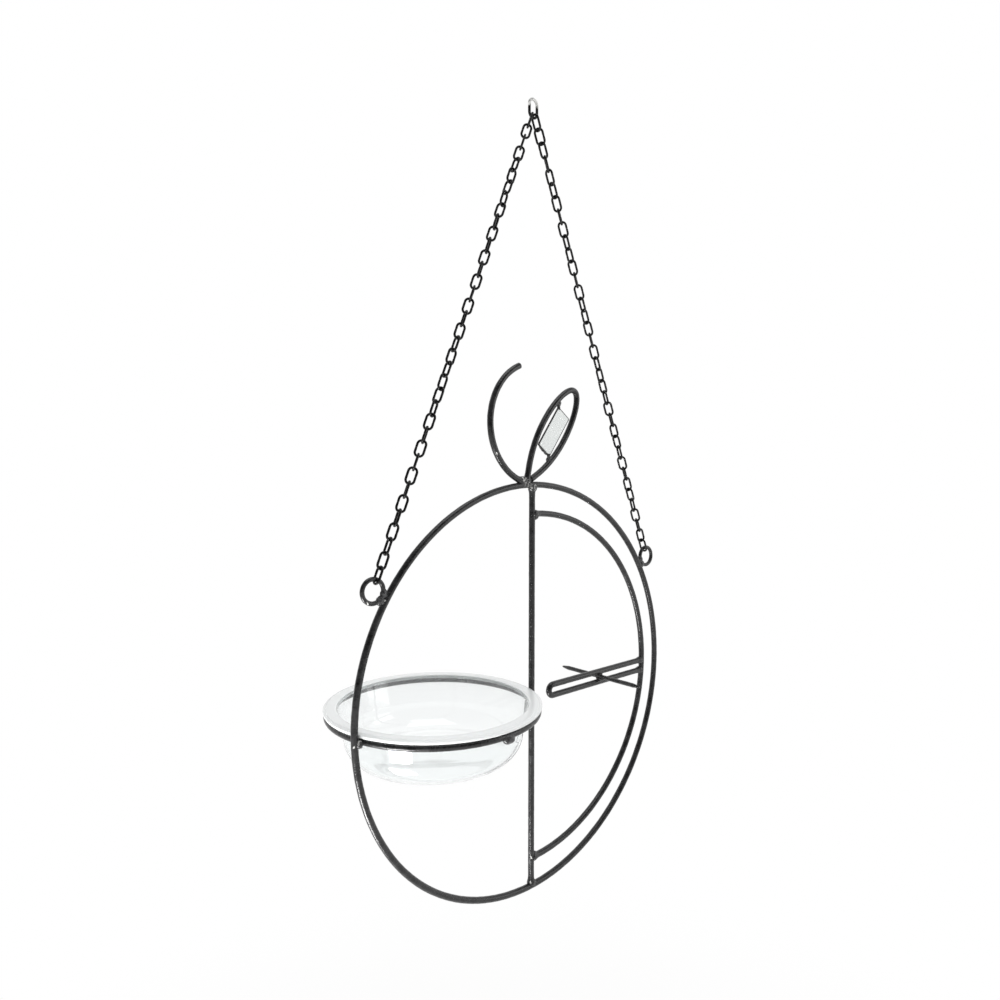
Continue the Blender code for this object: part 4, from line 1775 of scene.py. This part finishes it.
@dataclass
class Studio:
    """Camera, floor, lamps and world.

    Attributes:
        eye: the camera's place.
        right: the camera's own right.
        up: the camera's own up.
        lens: focal length in millimetres on the sensor.
        sensor: sensor's width in millimetres.
        floor_height: height of the floor.
        floor_size: width of the floor.
        floor_colour: its colour.
        floor_share: share of its own lit colour that shows near the feeder.
        floor_fade: distance over which the floor fades into the white.
        world_light: strength of the world on matt surfaces.
        room_dark: strength of the unlit room, in front of the feeder, in reflections.
        room_span: cosine of the turn from the camera's side where that room ends and where it is darkest.
        white: colour of the backdrop.
        lamps: the soft lamps.
        target: what the lamps point at.
        nearest: least distance that the camera shows.
    """

    eye: tuple[float, float, float] = (-0.30524, -0.31059, -0.20824)
    right: tuple[float, float, float] = (0.7428, -0.6696, 0.0009)
    up: tuple[float, float, float] = (0.0299, 0.0346, 0.999)
    lens: float = 26.81
    sensor: float = 36.0
    floor_height: float = -0.95
    floor_size: float = 12.0
    floor_colour: str = "#f4f4f2"
    floor_share: float = 0.3
    floor_fade: float = 0.9
    world_light: float = 0.7
    room_dark: float = 0.1
    room_span: Span = (-0.2, 0.45)
    white: str = "#ffffff"
    lamps: tuple[Lamp, ...] = (
        Lamp("left_lamp", (-0.46, -0.02, -0.84), width=0.24, power=5.5),
        Lamp("right_lamp", (1.0, -1.2, 0.1), width=0.9, power=4.0),
        Lamp("top_lamp", (-0.1, -0.2, 1.1), width=0.9, power=5.0),
    )
    target: tuple[float, float, float] = (0.0, 0.0, -0.3)
    nearest: float = 0.01

    def ray_share(self, tree: bpy.types.NodeTree, outputs: Sequence[str]) -> bpy.types.NodeSocket:
        """Return a socket that is 1 for rays of the named kinds.

        Args:
            tree: the node tree.
            outputs: names of the Light Path outputs.

        Returns:
            The greatest of those outputs.
        """
        path = add_node(tree, "ShaderNodeLightPath", {})
        share = path.outputs[outputs[0]]
        for name in outputs[1:]:
            share = add_node(
                tree, "ShaderNodeMath", {0: share, 1: path.outputs[name]}, operation="MAXIMUM",
            ).outputs[0]
        return share

    def world(self) -> None:
        """Make a white backdrop, with an unlit room in front of it that only reflections show."""
        made = bpy.data.worlds.new("white_studio")
        bpy.context.scene.world = made
        made.use_nodes = True
        tree = made.node_tree
        tree.nodes.clear()
        white = linear(self.white)
        light = add_node(tree, "ShaderNodeBackground", {"Color": white, "Strength": self.world_light})
        seen = add_node(tree, "ShaderNodeBackground", {"Color": white, "Strength": 1.0})
        # the room is dark towards the place that the photograph was taken from
        direction = add_node(tree, "ShaderNodeTexCoord", {}).outputs["Generated"]
        front = (Vector(self.eye) - Vector(self.target)).normalized()
        facing = add_node(
            tree, "ShaderNodeVectorMath", {0: direction, 1: tuple(front)}, operation="DOT_PRODUCT",
        )
        low, high = self.room_span
        room = add_node(
            tree, "ShaderNodeMapRange",
            {"Value": facing.outputs["Value"], "From Min": low, "From Max": high,
             "To Min": 1.0, "To Max": self.room_dark},
        )
        reflected = add_node(tree, "ShaderNodeBackground", {"Color": white, "Strength": room.outputs[0]})
        glossy = self.ray_share(tree, ["Is Glossy Ray"])
        mix = add_node(
            tree, "ShaderNodeMixShader", {0: glossy, 1: light.outputs[0], 2: reflected.outputs[0]},
        )
        plain = self.ray_share(tree, ["Is Camera Ray", "Is Transmission Ray", "Transmission Depth"])
        both = add_node(tree, "ShaderNodeMixShader", {0: plain, 1: mix.outputs[0], 2: seen.outputs[0]})
        add_node(tree, "ShaderNodeOutputWorld", {"Surface": both.outputs[0]})

    def floor(self) -> None:
        """Make the pale floor, which keeps the feeder's shadow and fades into the white."""
        half = self.floor_size / 2
        corners = [(x * half, y * half, self.floor_height) for x, y in ((-1, -1), (1, -1), (1, 1), (-1, 1))]
        mesh = bpy.data.meshes.new("floor")
        mesh.from_pydata(corners, [], [(0, 1, 2, 3)])
        made = bpy.data.materials.new("pale_paper_floor")
        made.use_nodes = True
        tree = made.node_tree
        tree.nodes.clear()
        matt = add_node(tree, "ShaderNodeBsdfDiffuse", {"Color": linear(self.floor_colour)})
        white = add_node(tree, "ShaderNodeEmission", {"Color": linear(self.white), "Strength": 1.0})
        place = add_node(tree, "ShaderNodeTexCoord", {}).outputs["Object"]
        below = add_node(
            tree, "ShaderNodeVectorMath", {0: place, 1: (0.0, 0.0, self.floor_height)}, operation="DISTANCE",
        )
        share = add_node(
            tree, "ShaderNodeMapRange",
            {"Value": below.outputs["Value"], "From Min": 0.0, "From Max": self.floor_fade,
             "To Min": 1.0 - self.floor_share, "To Max": 1.0}, interpolation_type="SMOOTHSTEP",
        )
        seen = self.ray_share(tree, ["Is Camera Ray", "Is Glossy Ray", "Is Transmission Ray"])
        shown = add_node(tree, "ShaderNodeMath", {0: seen, 1: share.outputs[0]}, operation="MULTIPLY")
        mix = add_node(
            tree, "ShaderNodeMixShader", {0: shown.outputs[0], 1: matt.outputs[0], 2: white.outputs[0]},
        )
        add_node(tree, "ShaderNodeOutputMaterial", {"Surface": mix.outputs[0]})
        mesh.materials.append(made)
        floor = bpy.data.objects.new("floor", mesh)
        bpy.context.scene.collection.objects.link(floor)

    def light(self) -> None:
        """Make the soft lamps, pointed at the feeder."""
        for lamp in self.lamps:
            source = bpy.data.lights.new(lamp.name, "AREA")
            source.size = lamp.width
            source.energy = lamp.power
            piece = bpy.data.objects.new(lamp.name, source)
            piece.location = lamp.place
            aim = Vector(self.target) - Vector(lamp.place)
            piece.rotation_euler = aim.to_track_quat("-Z", "Y").to_euler()
            bpy.context.scene.collection.objects.link(piece)

    def camera(self) -> None:
        """Make the camera at the photograph's place and angle."""
        lens = bpy.data.cameras.new("camera")
        lens.lens = self.lens
        lens.sensor_width = self.sensor
        lens.clip_start = self.nearest
        camera = bpy.data.objects.new("camera", lens)
        right = Vector(self.right).normalized()
        backwards = right.cross(Vector(self.up)).normalized()
        axes = Matrix((right, backwards.cross(right), backwards)).transposed().to_4x4()
        camera.matrix_world = Matrix.Translation(self.eye) @ axes
        bpy.context.scene.collection.objects.link(camera)
        bpy.context.scene.camera = camera

    def build(self) -> None:
        """Make the whole studio and set the view transform."""
        bpy.context.scene.view_settings.view_transform = "Standard"
        self.world()
        self.floor()
        self.light()
        self.camera()


def middle_of(node: str) -> Array:
    """Return the middle of a solid's box."""
    low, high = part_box(node)
    return (np.array(low) + np.array(high)) / 2


def main() -> None:
    """Load the solids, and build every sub-assembly and the studio."""
    logging.basicConfig(level=logging.INFO, format="%(name)s: %(message)s")
    for leftover in list(bpy.data.objects):
        bpy.data.objects.remove(leftover, do_unlink=True)
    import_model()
    hoop = HoopFrame(centre=middle_of("hoop"))
    ring = BowlRing(hoop)
    arm = FruitArm(hoop)
    crown = Crown(hoop)
    plan = WeldPlan(
        welds=[*hoop.welds(), *ring.welds(), *arm.welds(), *crown.welds()],
        painted_glints=[*hoop.painted_glints(), *ring.painted_glints(), *crown.painted_glints()],
    )
    shop = Workshop(
        coat=PowderCoat().material(),
        lacquer=BlackChain().material(),
        plastic=ClearPlastic().material(),
        enamel=PaleEnamel().material(),
        plan=plan,
    )
    for assembly in (hoop, ring, arm, crown, ClearBowl(ring), TwinChains(hoop)):
        LOG.info("building %s", type(assembly).__name__)
        assembly.build(shop)
    Studio().build()
    bpy.context.view_layer.update()
    LOG.info("boxes written")


if __name__ == "__main__":
    main()
